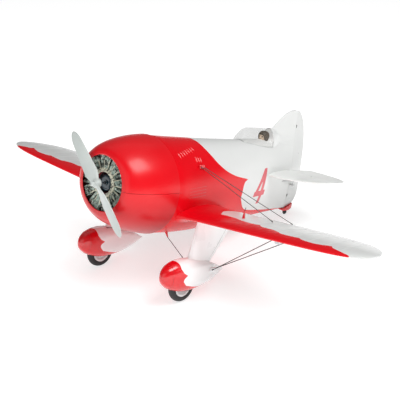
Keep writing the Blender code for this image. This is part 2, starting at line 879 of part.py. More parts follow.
def squircle(turn, power):
    """Point of a unit superellipse."""
    c, s = math.cos(turn), math.sin(turn)
    return math.copysign(abs(c) ** (2 / power), c), math.copysign(abs(s) ** (2 / power), s)


def pant():
    loops = []
    sides = 20
    for share in (0.0, 0.025, 0.08, 0.17, 0.30, 0.42, 0.56, 0.70, 0.84, 0.94, 1.0):
        aft = PANT_NOSE + PANT_LENGTH * share
        middle, half, width = pant_section(aft)
        loop = []
        for k in range(sides):
            across, upward = squircle(2 * math.pi * (k + 0.5) / sides, PANT_SQUARENESS)
            loop.append(Vector((WHEEL_X + width * across, aft, middle + half * upward)))
        loops.append(loop)
    return Shape().loft(loops)


def wheel_well(centre, radius, width, gap, depth):
    reach = radius + gap
    half = width / 2 + gap
    low = (centre.x - half, centre.y - reach, centre.z - depth)
    return Shape().box(low, (centre.x + half, centre.y + reach, centre.z + reach))


LEG_POINTS = ((1.0, 0.14), (0.8, 0.46), (0.55, 0.86), (0.3, 1.0), (0.12, 0.78), (0.03, 0.42), (0.0, 0.12))


def gear_leg():
    """Streamlined leg from the wing's underside down to the pant."""
    loops = []
    for share in (0.0, 0.25, 0.5, 0.75, 1.0):
        lead = LEG_TOP_LEAD + (LEG_FOOT_LEAD - LEG_TOP_LEAD) * share
        chord = LEG_TOP_CHORD + (LEG_FOOT_CHORD - LEG_TOP_CHORD) * share
        side = [(t * LEG_THICKNESS / 2, lead + chord * c) for c, t in LEG_POINTS]
        outline = side + [(-across, aft) for across, aft in reversed(side)]
        loop = []
        for across, aft in outline:
            x = WHEEL_X + across
            high = wing_under(x, aft) - SEAT_GAP
            low = pant_roof(aft, across) + SEAT_GAP
            loop.append(Vector((x, aft, high + (low - high) * share)))
        loops.append(loop)
    return Shape().loft(loops)


def ground_pitch():
    """Nose-up angle at which the main wheels and the tail wheel all touch the ground."""
    along = TAILWHEEL_AFT - WHEEL_AFT
    upward = TAILWHEEL_HEIGHT - WHEEL_HEIGHT
    step = WHEEL_RADIUS - TAILWHEEL_RADIUS
    return math.atan2(upward, along) + math.asin(step / math.hypot(along, upward))


def wheel_phase(sides):
    """Turn that puts one flat of a faceted wheel on the ground."""
    pitch = ground_pitch()
    return math.atan2(-math.cos(pitch), math.sin(pitch)) - math.pi / sides


def tyre_shape(centre, radius, width, crown, bore, sides):
    """Tyre with a flat tread and rounded shoulders."""
    outer = radius / math.cos(math.pi / sides)
    half = width / 2
    profile = [(-half + crown, bore), (-half, bore + crown), (-half, outer - crown), (-half + crown, outer)]
    profile += [(half - crown, outer), (half, outer - crown), (half, bore + crown), (half - crown, bore)]
    return Shape().turned(profile, sides, centre, (1, 0, 0), wheel_phase(sides), ring=True)


def hub_shape(centre):
    half = HUB_WIDTH / 2
    bore = AXLE_RADIUS + PIN_GAP
    rim = HUB_RADIUS - GAP
    dish = rim * 0.72
    web = half * 0.55
    profile = [(-half, bore), (-half, bore * 2.4), (-web, bore * 2.6), (-web, dish), (-half, rim)]
    profile += [(-p, r) for p, r in reversed(profile)]
    return Shape().turned(profile, HUB_SIDES, centre, (1, 0, 0), ring=True)


FAIRING_POINTS = ((0.0, 0.10, 0.2), (0.18, 0.55, 0.75), (0.42, 0.95, 1.0), (0.75, 1.0, 0.9), (1.0, 0.6, 0.45))


def tail_fairing():
    loops = []
    for share, depth, width in FAIRING_POINTS:
        aft = TAIL_FAIRING_FRONT + TAIL_FAIRING_LENGTH * share
        half = TAIL_FAIRING_HALF_WIDTH * width
        root = (RUDDER_BOTTOM if aft > RUDDER_HINGE else body_floor(aft, 0.0)) - SEAT_GAP
        top = root + RUDDER_HEEL_SLOPE * max(aft - RUDDER_HINGE, 0.0)
        low = root - TAIL_FAIRING_DEPTH * depth
        loops.append([
            Vector((half, aft, top)),
            Vector((half, aft, (top + low) / 2)),
            Vector((half * 0.5, aft, low)),
            Vector((-half * 0.5, aft, low)),
            Vector((-half, aft, (top + low) / 2)),
            Vector((-half, aft, top)),
        ])
    return Shape().loft(loops)


# Engine, motor and propeller


def dummy_engine():
    """Plate across the cowl's mouth."""
    return cowl_level_disc(ENGINE_AFT, ENGINE_AFT + ENGINE_PLATE, PLATE_GAP, ENGINE_HOLE)


def engine_relief():
    """Crankcase ring and cylinders that stand out from the plate."""
    relief = Shape()
    sink = ENGINE_PLATE / 2
    profile = [(-CRANKCASE_LENGTH, ENGINE_HOLE + GAP), (-CRANKCASE_LENGTH, CRANKCASE_RADIUS - GAP * 2)]
    profile += [(sink, CRANKCASE_RADIUS), (sink, ENGINE_HOLE + GAP)]
    centre = (0, ENGINE_AFT, 0)
    relief.turned(profile, 24, centre, (0, 1, 0), ring=True)
    inner = CRANKCASE_RADIUS + GAP * 2
    outer = MOUTH_RADIUS - GAP
    for k in range(CYLINDERS):
        turn = 2 * math.pi * k / CYLINDERS + math.pi / 2
        along = Vector((math.cos(turn), 0, math.sin(turn)))
        across = Vector((-math.sin(turn), 0, math.cos(turn)))
        loops = []
        for reach in (inner, outer):
            half = CYLINDER_WIDTH / 2 * (0.72 if reach == inner else 1.0)
            base = along * reach
            loops.append([
                base + across * half + Vector((0, ENGINE_AFT + sink, 0)),
                base + across * half + Vector((0, ENGINE_AFT - CYLINDER_LENGTH * 0.5, 0)),
                base + across * half * 0.5 + Vector((0, ENGINE_AFT - CYLINDER_LENGTH, 0)),
                base - across * half * 0.5 + Vector((0, ENGINE_AFT - CYLINDER_LENGTH, 0)),
                base - across * half + Vector((0, ENGINE_AFT - CYLINDER_LENGTH * 0.5, 0)),
                base - across * half + Vector((0, ENGINE_AFT + sink, 0)),
            ])
        relief.loft(loops)
    return relief


def motor_bell():
    front, back = BELL_FRONT, BELL_FRONT + BELL_LENGTH
    inner = BELL_RADIUS - BELL_WALL
    bore = SHAFT_RADIUS + GAP
    cap = front + BELL_WALL
    profile = [(front, bore), (front, inner), (cap, BELL_RADIUS), (back, BELL_RADIUS)]
    profile += [(back, inner), (cap, inner), (cap, bore)]
    return Shape().turned(profile, 20, (0, 0, 0), (0, 1, 0), ring=True)


def motor_stator():
    front = BELL_FRONT + BELL_WALL + SEAT_GAP
    foot = MOTOR_MOUNT_AFT - GAP
    flange = foot - BELL_WALL
    bore = SHAFT_RADIUS + PIN_GAP
    core_end = BELL_FRONT + BELL_LENGTH
    stem = STATOR_RADIUS / 2
    profile = [(front, bore), (front, STATOR_RADIUS), (core_end, STATOR_RADIUS), (core_end, stem)]
    profile += [(flange, stem), (flange, BELL_RADIUS), (foot, BELL_RADIUS), (foot, bore)]
    return Shape().turned(profile, 20, (0, 0, 0), (0, 1, 0), ring=True)


def propeller():
    """Two twisted blades on a hub, at the angle that they rest at."""
    blades = Shape()
    along = Vector((-math.sin(PROP_REST_ANGLE), 0, math.cos(PROP_REST_ANGLE)))
    for direction in (along, -along):
        across = Vector((0, 1, 0)).cross(direction)
        loops = []
        for share in (0.035, 0.12, 0.24, 0.38, 0.54, 0.70, 0.84, 0.94, 0.99):
            swell = 0.42 + 0.58 * min(share / PROP_SHOULDER, 1.0) - 0.16 * share**2
            past = max(share - 1 + PROP_TIP_ROUND, 0.0) / PROP_TIP_ROUND
            round_end = math.sqrt(1 - past * past)
            chord = PROP_CHORD * swell * round_end
            thick = 0.0030 * (1 - share) + 0.0009
            pitch = math.atan2(0.30, max(share, 0.16) * 2.4)
            lean = across * math.cos(pitch) + Vector((0, 1, 0)) * math.sin(pitch)
            face = lean.cross(direction)
            side = ((0.5, 0.12), (0.28, 0.42), (-0.1, 0.5), (-0.38, 0.36), (-0.5, 0.1))
            middle = Vector((0, PROP_AFT, 0)) + direction * PROP_RADIUS * share
            near = [middle + lean * chord * p + face * thick * q for p, q in side]
            far = [middle + lean * chord * p - face * thick * q for p, q in reversed(side)]
            loops.append(near + far)
        blades.loft(loops)
    return blades


def prop_hub():
    half = PROP_HUB_LENGTH / 2
    edge = PROP_HUB_RADIUS * 0.16
    profile = [(-half, PROP_HUB_RADIUS - edge), (-half + edge, PROP_HUB_RADIUS)]
    profile += [(half - edge, PROP_HUB_RADIUS), (half, PROP_HUB_RADIUS - edge)]
    return Shape().turned(profile, 20, (0, PROP_AFT, 0), (0, 1, 0))


def shaft_bore():
    reach = PROP_HUB_LENGTH
    return Shape().tube([(0, PROP_AFT - reach, 0), (0, PROP_AFT + reach, 0)], SHAFT_RADIUS + GAP)


def prop_nut():
    back = PROP_AFT - PROP_HUB_LENGTH / 2 - GAP
    front = back - PROP_NUT_LENGTH
    bore = SHAFT_RADIUS + GAP
    depth = front + PROP_NUT_LENGTH * 0.35
    profile = [(front, bore), (front, PROP_NUT_RADIUS * 0.6), (depth, PROP_NUT_RADIUS)]
    profile += [(back, PROP_NUT_RADIUS), (back, bore)]
    return Shape().turned(profile, 12, (0, 0, 0), (0, 1, 0), ring=True)


# Cabin


def canopy_height(share):
    """Height of the canopy's crown over the body, 0 to 1, along its length."""
    if share < CANOPY_PEAK:
        return math.sin(math.pi / 2 * share / CANOPY_PEAK) ** 0.7
    return math.cos(math.pi / 2 * (share - CANOPY_PEAK) / (1 - CANOPY_PEAK) * CANOPY_FALL)


def canopy():
    """Clear hood, open underneath, standing on the body's skin."""
    loops = []
    steps = 8
    for share in (0.0, 0.05, 0.11, 0.18, 0.26, 0.42, 0.60, 0.80, 1.0):
        aft = CANOPY_FRONT + CANOPY_LENGTH * share
        width = CANOPY_HALF_WIDTH * (0.45 + 0.55 * math.sin(math.pi * min(0.12 + share * 0.76, 1.0)) ** 0.8)
        width = min(width, body_section(aft)[0] - CANOPY_SHOULDER)
        lift = max(canopy_height(share), 0.12) * (CANOPY_TOP - body_roof(CANOPY_FRONT, 0.0))
        loop = []
        for inset in (0.0, CANOPY_WALL):
            arc = []
            for k in range(steps + 1):
                turn = math.pi * k / steps
                x = (width - inset) * math.cos(turn)
                base = body_roof(aft, x) + SEAT_GAP
                arc.append(Vector((x, aft, base + max(lift - inset, 0.0004) * math.sin(turn) ** 0.8)))
            loop += arc if inset == 0.0 else arc[::-1]
        loops.append(loop)
    for loop in loops:
        for outer, inner in zip(loop[: steps + 1], reversed(loop[steps + 1 :])):
            if abs(outer.x) < abs(loop[0].x) * 0.99:
                inner.z = min(inner.z, outer.z - CANOPY_WALL * 0.5)
    return Shape().loft(loops)


def cockpit_opening():
    sides = 16
    loops = []
    for height in (COCKPIT_FLOOR, BODY_TOP * 1.2):
        loop = []
        for k in range(sides):
            turn = 2 * math.pi * (k + 0.5) / sides
            across, along = squircle(turn, 3.0)
            aft = COCKPIT_FRONT + COCKPIT_LENGTH / 2 * (1 + along)
            loop.append(Vector((COCKPIT_HALF_WIDTH * across, aft, height)))
        loops.append(loop)
    return Shape().loft(loops)


def body_shelf(front, length, height, thickness, steps=6, grow=0.0):
    """Flat plate inside the body, its edges close to the walls."""
    loops = []
    for k in range(steps + 1):
        aft = front + length * k / steps
        wall = max(COWL_WALL, BODY_WALL)
        reach = min(body_side(aft, height, wall), body_side(aft, height - thickness, wall)) - SEAT_GAP + grow
        aft += grow if k == steps else -grow if k == 0 else 0.0
        top, bottom = height + grow, height - thickness - grow
        corners = ((reach, top), (reach, bottom), (-reach, bottom), (-reach, top))
        loops.append([Vector((x, aft, z)) for x, z in corners])
    return Shape().loft(loops)


def cockpit_shelf(grow=0.0):
    """Floor under the pilot. Grown, it is the room that it needs."""
    front = COCKPIT_FRONT - FLOOR_MARGIN
    return body_shelf(front, COCKPIT_LENGTH + FLOOR_MARGIN * 2, COCKPIT_FLOOR, FLOOR_THICKNESS, 6, grow)


def pilot():
    """Seated figure from the waist up, in a round flying helmet."""
    sides = 14
    head = PILOT_HEAD_RADIUS
    base = COCKPIT_FLOOR + GAP
    neck = PILOT_HEAD_HEIGHT - head * 1.12
    shoulder = neck - head * 0.35
    rings = [
        (base, 0.92, 0.62, 0.0),
        (base + (shoulder - base) * 0.55, 1.0, 0.66, 0.0),
        (shoulder - head * 0.12, 1.02, 0.58, 0.0),
        (shoulder + head * 0.2, 0.6, 0.46, 0.0),
        (neck, 0.40, 0.42, -0.03),
        (neck + head * 0.18, 0.58, 0.70, -0.08),
        (PILOT_HEAD_HEIGHT - head * 0.55, 0.78, 0.95, -0.03),
        (PILOT_HEAD_HEIGHT, 0.92, 1.06, 0.02),
        (PILOT_HEAD_HEIGHT + head * 0.5, 0.82, 0.98, 0.06),
        (PILOT_HEAD_HEIGHT + head * 0.86, 0.50, 0.62, 0.08),
        (PILOT_HEAD_HEIGHT + head, 0.12, 0.15, 0.08),
    ]
    loops = []
    for height, width, depth, shift in rings:
        loop = []
        for k in range(sides):
            turn = 2 * math.pi * (k + 0.5) / sides
            aft = PILOT_AFT + head * (shift + depth * math.sin(turn))
            loop.append(Vector((head * width * math.cos(turn), aft, height)))
        loops.append(loop)
    return Shape().loft(loops)


# Control runs


def horn(thing, root, pivot, flat):
    """Adds an arm to a control surface, with a hole at the pivot. Flat is the direction across its faces."""
    along = (pivot - root).normalized()
    across = flat.cross(along)
    eye = HORN_HOLE + HORN_RIM
    side = [root + across * HORN_ROOT_WIDTH / 2, pivot + across * eye]
    side.append(pivot + (along + across) * eye * 0.7)
    side.append(pivot + along * eye + across * eye * 0.3)
    other = [p - across * 2 * (p - root).dot(across) for p in reversed(side)]
    half = flat * HORN_THICKNESS / 2
    boolean(thing, Shape().loft([[p + half * s for p in side + other] for s in (-1, 1)]), "UNION")
    boolean(thing, Shape().tube([pivot - flat * HORN_HOLE, pivot + flat * HORN_HOLE], HORN_HOLE, 10))


def rudder_rod():
    """Path of the rudder's rod: from its slider, out through the body's side, then down through the horn."""
    front = Vector((SERVO_X, BOARD_AFT + SERVO_SIZE[1] / 2, slider_height()))
    back = Vector((RUDDER_HORN_ARM, RUDDER_HINGE, RUDDER_ROD_HEIGHT))
    return [front, back, back - Vector((0, 0, RUDDER_ROD_DROP))]


def elevator_rod():
    front = Vector((-SERVO_X, BOARD_AFT + SERVO_SIZE[1] / 2, slider_height()))
    back = Vector((ELEVATOR_HORN_X + HORN_THICKNESS * 1.5, ELEVATOR_HINGE, TAIL_HEIGHT - ELEVATOR_HORN_ARM))
    return [front, back, back - Vector((HORN_THICKNESS * 3, 0, 0))]


def slider_height():
    return TRAY_HEIGHT + GAP * 3 + BOARD_SIZE[2] + SERVO_SIZE[2] + SLIDER_SIZE[2] / 2


def build_rod(name, path, material):
    """Slider block with its rod."""
    rod = make(name, Shape().tube(path, ROD_RADIUS), material)
    boolean(rod, centred_box(path[0], SLIDER_SIZE), "UNION")
    return rod


def rod_channel(path):
    """Clear way for a rod through the body's tail."""
    run = path[1] - path[0]
    return Shape().tube([path[0] + run * 0.3, path[1] + run * 0.1], ROD_CHANNEL)


# Bracing


def wire_run(start, end):
    """Wire between two points on skins, held off each by the thickness of its eye."""
    run = (end - start).normalized()
    return [start + run * WIRE_STANDOFF, end - run * WIRE_STANDOFF]


def tab(places):
    """Small plate that the wires of one side start from, just off the skin."""
    inner = max(p.x for p in places) + SEAT_GAP
    afts = [p.y for p in places]
    heights = [p.z for p in places]
    low = (inner, min(afts) - TAB_MARGIN, min(heights) - TAB_MARGIN)
    return Shape().box(low, (inner + TAB_THICKNESS, max(afts) + TAB_MARGIN, max(heights) + TAB_MARGIN))


def upper_wires():
    """Plate on the body's side, and its wires to the top of the wing."""
    starts = []
    for aft, height in UPPER_ANCHORS:
        starts.append(Vector((body_side(aft - TAB_MARGIN, height - TAB_MARGIN), aft, height)))
    ends = [Vector((x, aft, wing_top(x, aft) + WIRE_RADIUS)) for x, aft in UPPER_FEET]
    return tab(starts), starts, ends


def lower_wires():
    """Plate on the pant's side, and its wires to the underside of the wing."""
    starts = []
    for aft, height in LOWER_PANT_ANCHORS:
        starts.append(Vector((WHEEL_X + pant_side(aft - TAB_MARGIN, height - TAB_MARGIN), aft, height)))
    ends = [Vector((x, aft, wing_under(x, aft) - WIRE_RADIUS)) for x, aft in LOWER_WING_ANCHORS]
    return tab(starts), starts, ends


def build_wires(name, parts, sign, material):
    plate, starts, ends = parts
    inner = max(p.x for p in starts) + SEAT_GAP + TAB_THICKNESS / 2
    thing = make(name, plate if sign == 1 else plate.mirrored(), material)
    for start, end in zip(starts, ends):
        first = Vector((inner, start.y, start.z))
        wire = Shape().tube([first, end - (end - first).normalized() * WIRE_STANDOFF], WIRE_RADIUS, 6)
        boolean(thing, wire if sign == 1 else wire.mirrored(), "UNION")


def belly_post_tip():
    floor = body_floor(BELLY_POST_AFT, BELLY_POST_X)
    return Vector((BELLY_POST_X, BELLY_POST_AFT + BELLY_POST_HEIGHT * 0.55, floor - BELLY_POST_HEIGHT))


def belly_wire():
    across, aft = BELLY_WIRE_FOOT
    foot = Vector((WHEEL_X + across, aft, pant_roof(aft, across)))
    return Shape().tube(wire_run(belly_post_tip(), foot), WIRE_RADIUS, 6)


def wedge_post(root, tip, chord, thickness):
    """Streamlined post, wide at its root and narrow at its tip."""
    loops = []
    for place, size in ((root, 1.0), (tip, 0.3)):
        half, side = chord / 2 * size, thickness / 2 * size
        outline = ((0.0, half), (side, half * 0.2), (side * 0.8, -half * 0.5), (0.0, -half))
        loops.append([place + Vector((x, y, 0)) for x, y in outline])
    return Shape().loft(loops)


def wing_post():
    foot = Vector((POST_X, POST_AFT, wing_top(POST_X, POST_AFT) + SEAT_GAP))
    return wedge_post(foot, foot + Vector((0, 0, POST_HEIGHT)), POST_CHORD, POST_CHORD * 0.45)


def wing_post_rod():
    foot = Vector((POST_X, POST_AFT, wing_top(POST_X, POST_AFT) + SEAT_GAP + POST_HEIGHT * 0.8))
    return Shape().tube([foot, foot + Vector((0, POST_ROD * 0.2, POST_ROD))], WIRE_RADIUS, 6)


def belly_post():
    floor = body_floor(BELLY_POST_AFT, BELLY_POST_X + POST_CHORD * 0.18)
    root = Vector((BELLY_POST_X, BELLY_POST_AFT, floor - SEAT_GAP * 2))
    return wedge_post(root, belly_post_tip() + Vector((0, 0, SEAT_GAP)), POST_CHORD, POST_CHORD * 0.45)


# Assembly


def build_body(paint):
    shell = make("fuselage_shell", fuselage(), paint["white"])
    boolean(shell, fin(), "UNION")
    boolean(shell, tailplane(GAP))
    boolean(shell, cockpit_opening())
    boolean(shell, cockpit_shelf(GAP))
    boolean(shell, Shape().tube(spar_path(), SPAR_RADIUS + GAP))
    for path in (rudder_rod(), elevator_rod()):
        boolean(shell, rod_channel(path))
    hinge = Vector((0, ELEVATOR_HINGE, TAIL_HEIGHT))
    reach = Vector((ELEVATOR_ROOT * 2, 0, 0))
    boolean(shell, Shape().tube([hinge - reach, hinge + reach], HINGE_PIN_RADIUS + SEAT_GAP))

    make("cowl_lower", cowl_half(False), paint["red"])
    make("cowl_hatch", cowl_half(True), paint["red"])
    return shell


def build_engine(paint):
    plate = make("dummy_engine", dummy_engine(), paint["dark"])
    boolean(plate, engine_relief(), "UNION")
    back = MOTOR_MOUNT_AFT + MOTOR_MOUNT_THICKNESS
    bulkhead = cowl_level_disc(MOTOR_MOUNT_AFT, back, PLATE_GAP, SHAFT_RADIUS * 3)
    make("motor_mount", bulkhead, paint["wood"])
    make("motor_stator", motor_stator(), paint["steel"])

    axis = (0, PROP_AFT, 0)
    make("motor_bell", motor_bell(), paint["dark"], axis)
    front = PROP_AFT - PROP_HUB_LENGTH / 2 - PROP_NUT_LENGTH
    shaft = Shape().tube([(0, front, 0), (0, MOTOR_MOUNT_AFT, 0)], SHAFT_RADIUS, 12)
    make("prop_shaft", shaft, paint["steel"], axis)
    blades = make("propeller", propeller(), paint["grey"], axis)
    boolean(blades, prop_hub(), "UNION")
    boolean(blades, shaft_bore())
    make("prop_nut", prop_nut(), paint["dark"], axis)


def build_wings(paint):
    make("wing_joiner", Shape().tube(spar_path(), SPAR_RADIUS), paint["dark"])
    middle, tip = spar_path()[1:]
    spar_hole = Shape().tube([middle, tip + (tip - middle).normalized() * GAP], SPAR_RADIUS + GAP)
    place = aileron_servo_place()
    servo = centred_box(place, AILERON_SERVO_SIZE)
    wide, long, high = AILERON_SERVO_SIZE
    room = (wide + GAP * 2, long + GAP * 2, high * 2 + GAP * 2)
    pocket = centred_box(place - Vector((0, 0, high / 2)), room)
    eyes = [aileron_line(AILERON_INNER + AILERON_EYE_INSET), aileron_line(AILERON_OUTER - AILERON_EYE_INSET)]
    aft = Vector((0, 1, 0))
    for side, sign in (("left", 1), ("right", -1)):
        pick = (lambda s: s) if sign == 1 else (lambda s: s.mirrored())
        flip = Vector((sign, 1, 1))
        axis = aileron_axis() * flip
        places = [eye * flip for eye in eyes]
        hinge = aileron_hinge(AILERON_INNER) * flip
        panel = make("wing_" + side, pick(wing()), paint["red"])
        for tool in (body_block(SEAT_GAP), aileron_bay(), spar_hole, pocket):
            boolean(panel, pick(tool))
        flap = make("aileron_" + side, pick(aileron_shape()), paint["white"], hinge)
        pivot = aileron_rod()[1] * flip
        pivot.x = sign * aileron_horn_x()
        root = aileron_line(aileron_horn_x()) * flip + Vector((0, HORN_ROOT_AFT, 0))
        horn(flap, root, pivot, Vector((1, 0, 0)))
        hang(flap, panel, places, axis, aft)
        pin = hinge_rod(places, axis, HINGE_PIN_RADIUS, HINGE_NOTCH / 2 + PIN_GRIP)
        make("aileron_pin_" + side, pin, paint["steel"])
        make("aileron_servo_" + side, pick(servo), paint["dark"])
        rod = [p * flip for p in aileron_rod()]
        link = make("aileron_pushrod_" + side, Shape().tube(rod, ROD_RADIUS), paint["steel"])
        grip = rod[0].copy()
        rise_to = wing_under(abs(grip.x), grip.y) - SEAT_GAP * 2 - grip.z
        boolean(link, centred_box(grip, (SLIDER_SIZE[0], SLIDER_SIZE[1], 2 * rise_to)), "UNION")


def build_tail(paint, shell):
    hinge = Vector((0, ELEVATOR_HINGE, TAIL_HEIGHT))
    left, aft, up = Vector((1, 0, 0)), Vector((0, 1, 0)), Vector((0, 0, 1))
    plane = make("stabilizer", tailplane(), paint["white"])
    places = [hinge - left * ELEVATOR_EYE, hinge + left * ELEVATOR_EYE]
    flaps = [make("elevator_left", elevator(), paint["white"], hinge)]
    flaps.append(make("elevator_right", elevator().mirrored(), paint["white"], hinge))
    for flap, place in zip(flaps, reversed(places)):
        boolean(flap, hinge_notches([place], left, aft))
        boolean(plane, hinge_lug(place, left, aft), "UNION")
    grip = HINGE_NOTCH / 2 + PIN_GRIP
    bore = hinge_rod(places, left, HINGE_PIN_RADIUS + PIN_GAP, grip + GAP)
    for thing in flaps + [plane]:
        boolean(thing, bore)
    make("elevator_joiner", hinge_rod(places, left, HINGE_PIN_RADIUS, grip), paint["steel"], hinge)
    pivot = elevator_rod()[1].copy()
    pivot.x = ELEVATOR_HORN_X
    horn(flaps[1], Vector((ELEVATOR_HORN_X, ELEVATOR_HINGE + HORN_ROOT_AFT, TAIL_HEIGHT)), pivot, left)

    axis = Vector((0, RUDDER_HINGE, 0))
    blade = make("rudder", rudder(), paint["white"], axis)
    across, along = RUDDER_HORN_ROOT
    pivot = rudder_rod()[1] - up * RUDDER_ROD_DROP * 0.75
    horn(blade, Vector((across, RUDDER_HINGE + along, pivot.z)), pivot, up)
    places = [axis + up * height for height in sorted(RUDDER_EYE_HEIGHTS)]
    hang(blade, shell, places, up, aft)
    make("rudder_pin", hinge_rod(places, up, HINGE_PIN_RADIUS, grip), paint["steel"])

    wheel = Vector((0, TAILWHEEL_AFT, TAILWHEEL_HEIGHT))
    fairing = make("tail_fairing", tail_fairing(), paint["red"], axis)
    well = wheel_well(wheel, TAILWHEEL_RADIUS, TAILWHEEL_WIDTH, TAILWHEEL_WELL_GAP, TAILWHEEL_RADIUS * 3)
    boolean(fairing, well)
    reach = left * TAIL_FAIRING_HALF_WIDTH
    boolean(fairing, Shape().tube([wheel - reach * 1.5, wheel + reach * 1.5], TAIL_AXLE_RADIUS + PIN_GAP))
    axle = Shape().tube([wheel - reach, wheel + reach], TAIL_AXLE_RADIUS)
    make("tailwheel_axle", axle, paint["steel"], axis)
    bore = TAIL_AXLE_RADIUS + PIN_GAP
    tyre = tyre_shape(wheel, TAILWHEEL_RADIUS, TAILWHEEL_WIDTH, TAILWHEEL_WIDTH * 0.2, bore, TAILWHEEL_SIDES)
    make("tailwheel", tyre, paint["dark"], wheel)


def build_gear(paint):
    for side, sign in (("left", 1), ("right", -1)):
        pick = (lambda s: s) if sign == 1 else (lambda s: s.mirrored())
        wheel = Vector((WHEEL_X, WHEEL_AFT, WHEEL_HEIGHT))
        axis = Vector((sign * WHEEL_X, WHEEL_AFT, WHEEL_HEIGHT))
        make("gear_leg_" + side, pick(gear_leg()), paint["white"])
        shell = make("wheel_pant_" + side, pick(pant()), paint["red"])
        boolean(shell, pick(wheel_well(wheel, WHEEL_RADIUS, TYRE_WIDTH, WHEEL_WELL_GAP, WHEEL_RADIUS * 2)))
        reach = Vector((PANT_HALF_WIDTH * 1.5, 0, 0))
        boolean(shell, pick(Shape().tube([wheel - reach, wheel + reach], AXLE_RADIUS + PIN_GAP)))
        bore = HUB_RADIUS / math.cos(math.pi / WHEEL_SIDES)
        tyre = tyre_shape(wheel, WHEEL_RADIUS, TYRE_WIDTH, TYRE_CROWN, bore, WHEEL_SIDES)
        make("tyre_" + side, pick(tyre), paint["dark"], axis)
        make("hub_" + side, pick(hub_shape(wheel)), paint["white"], axis)
        grip = Vector((pant_side(WHEEL_AFT, WHEEL_HEIGHT) - GAP, 0, 0))
        make("wheel_axle_" + side, Shape().tube([axis - grip, axis + grip], AXLE_RADIUS), paint["steel"])


def build_cabin(paint):
    hood = make("canopy", canopy(), paint["clear"])
    boolean(hood, fin(SEAT_GAP))
    make("cockpit_floor", cockpit_shelf(), paint["dark"])
    make("pilot_figure", pilot(), paint["brown"])


def build_equipment(paint):
    tray = body_shelf(TRAY_FRONT, TRAY_LENGTH, TRAY_HEIGHT, TRAY_THICKNESS, 10)
    make("equipment_tray", tray, paint["wood"])
    top = TRAY_HEIGHT + GAP
    make("battery", centred_box((0, BATTERY_AFT, top + BATTERY_SIZE[2] / 2), BATTERY_SIZE), paint["dark"])
    make("flight_board", centred_box((0, BOARD_AFT, top + BOARD_SIZE[2] / 2), BOARD_SIZE), paint["board"])
    floor = top + BOARD_SIZE[2] + GAP
    for name, x in (("rudder_servo", SERVO_X), ("elevator_servo", -SERVO_X)):
        make(name, centred_box((x, BOARD_AFT, floor + SERVO_SIZE[2] / 2), SERVO_SIZE), paint["dark"])
    build_rod("rudder_pushrod", rudder_rod(), paint["steel"])
    build_rod("elevator_pushrod", elevator_rod(), paint["steel"])


def build_bracing(paint):
    for side, sign in (("left", 1), ("right", -1)):
        pick = (lambda s: s) if sign == 1 else (lambda s: s.mirrored())
        build_wires("upper_wires_" + side, upper_wires(), sign, paint["steel"])
        build_wires("lower_wires_" + side, lower_wires(), sign, paint["steel"])
        make("belly_wire_" + side, pick(belly_wire()), paint["steel"])
        make("belly_post_" + side, pick(belly_post()), paint["red"])
        post = make("wing_post_" + side, pick(wing_post()), paint["red"])
        boolean(post, pick(wing_post_rod()), "UNION")


def stand_on_wheels():
    """Pitches the airframe to its three-point stance and centres its box over the origin."""
    pitch = ground_pitch()
    AIRFRAME.rotation_euler = (-pitch, 0, 0)
    contact = -WHEEL_AFT * math.sin(pitch) + WHEEL_HEIGHT * math.cos(pitch) - WHEEL_RADIUS
    AIRFRAME.location = (0, 0, -contact)
    bpy.context.view_layer.update()
    points = []
    graph = bpy.context.evaluated_depsgraph_get()
    for thing in AIRFRAME.children:
        if thing.hide_render:
            continue
        solid = thing.evaluated_get(graph)
        points += [(solid.matrix_world @ v.co).y for v in solid.data.vertices]
    AIRFRAME.location.y = -(min(points) + max(points)) / 2
    bpy.context.view_layer.update()


def main():
    paint = {
        "red": finish("red_paint", RED, 0.25),
        "white": finish("white_paint", WHITE, 0.35),
        "grey": finish("grey_plastic", GREY, 0.4),
        "dark": finish("dark_plastic", DARK, 0.5),
        "steel": finish("steel_wire", STEEL, 0.35, 1.0),
        "wood": finish("plywood", (0.55, 0.38, 0.2), 0.7),
        "board": finish("circuit_board", (0.02, 0.16, 0.07), 0.5),
        "brown": finish("pilot_cloth", (0.18, 0.12, 0.08), 0.8),
        "clear": finish("clear_canopy", (0.9, 0.92, 0.92), 0.1, 0.0, 0.35),
    }
    shell = build_body(paint)
    build_engine(paint)
    build_wings(paint)
    build_tail(paint, shell)
    build_gear(paint)
    build_cabin(paint)
    build_equipment(paint)
    build_bracing(paint)
    stand_on_wheels()


clear_scene()
AIRFRAME = bpy.data.objects.new("airframe", None)
bpy.context.scene.collection.objects.link(AIRFRAME)
main()
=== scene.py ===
"""Wire-braced low-wing racing monoplane: painted skins, engine, cabin and rigging around its solids.

Pieces are drawn in the airframe's own frame, in metres: X to the left, Y aft from the cowl's mouth, Z up from
the thrust line. STAND then sets the airframe on its three wheels.
"""

import json
import math

import bmesh
import bpy
import numpy as np
from mathutils import Matrix, Vector


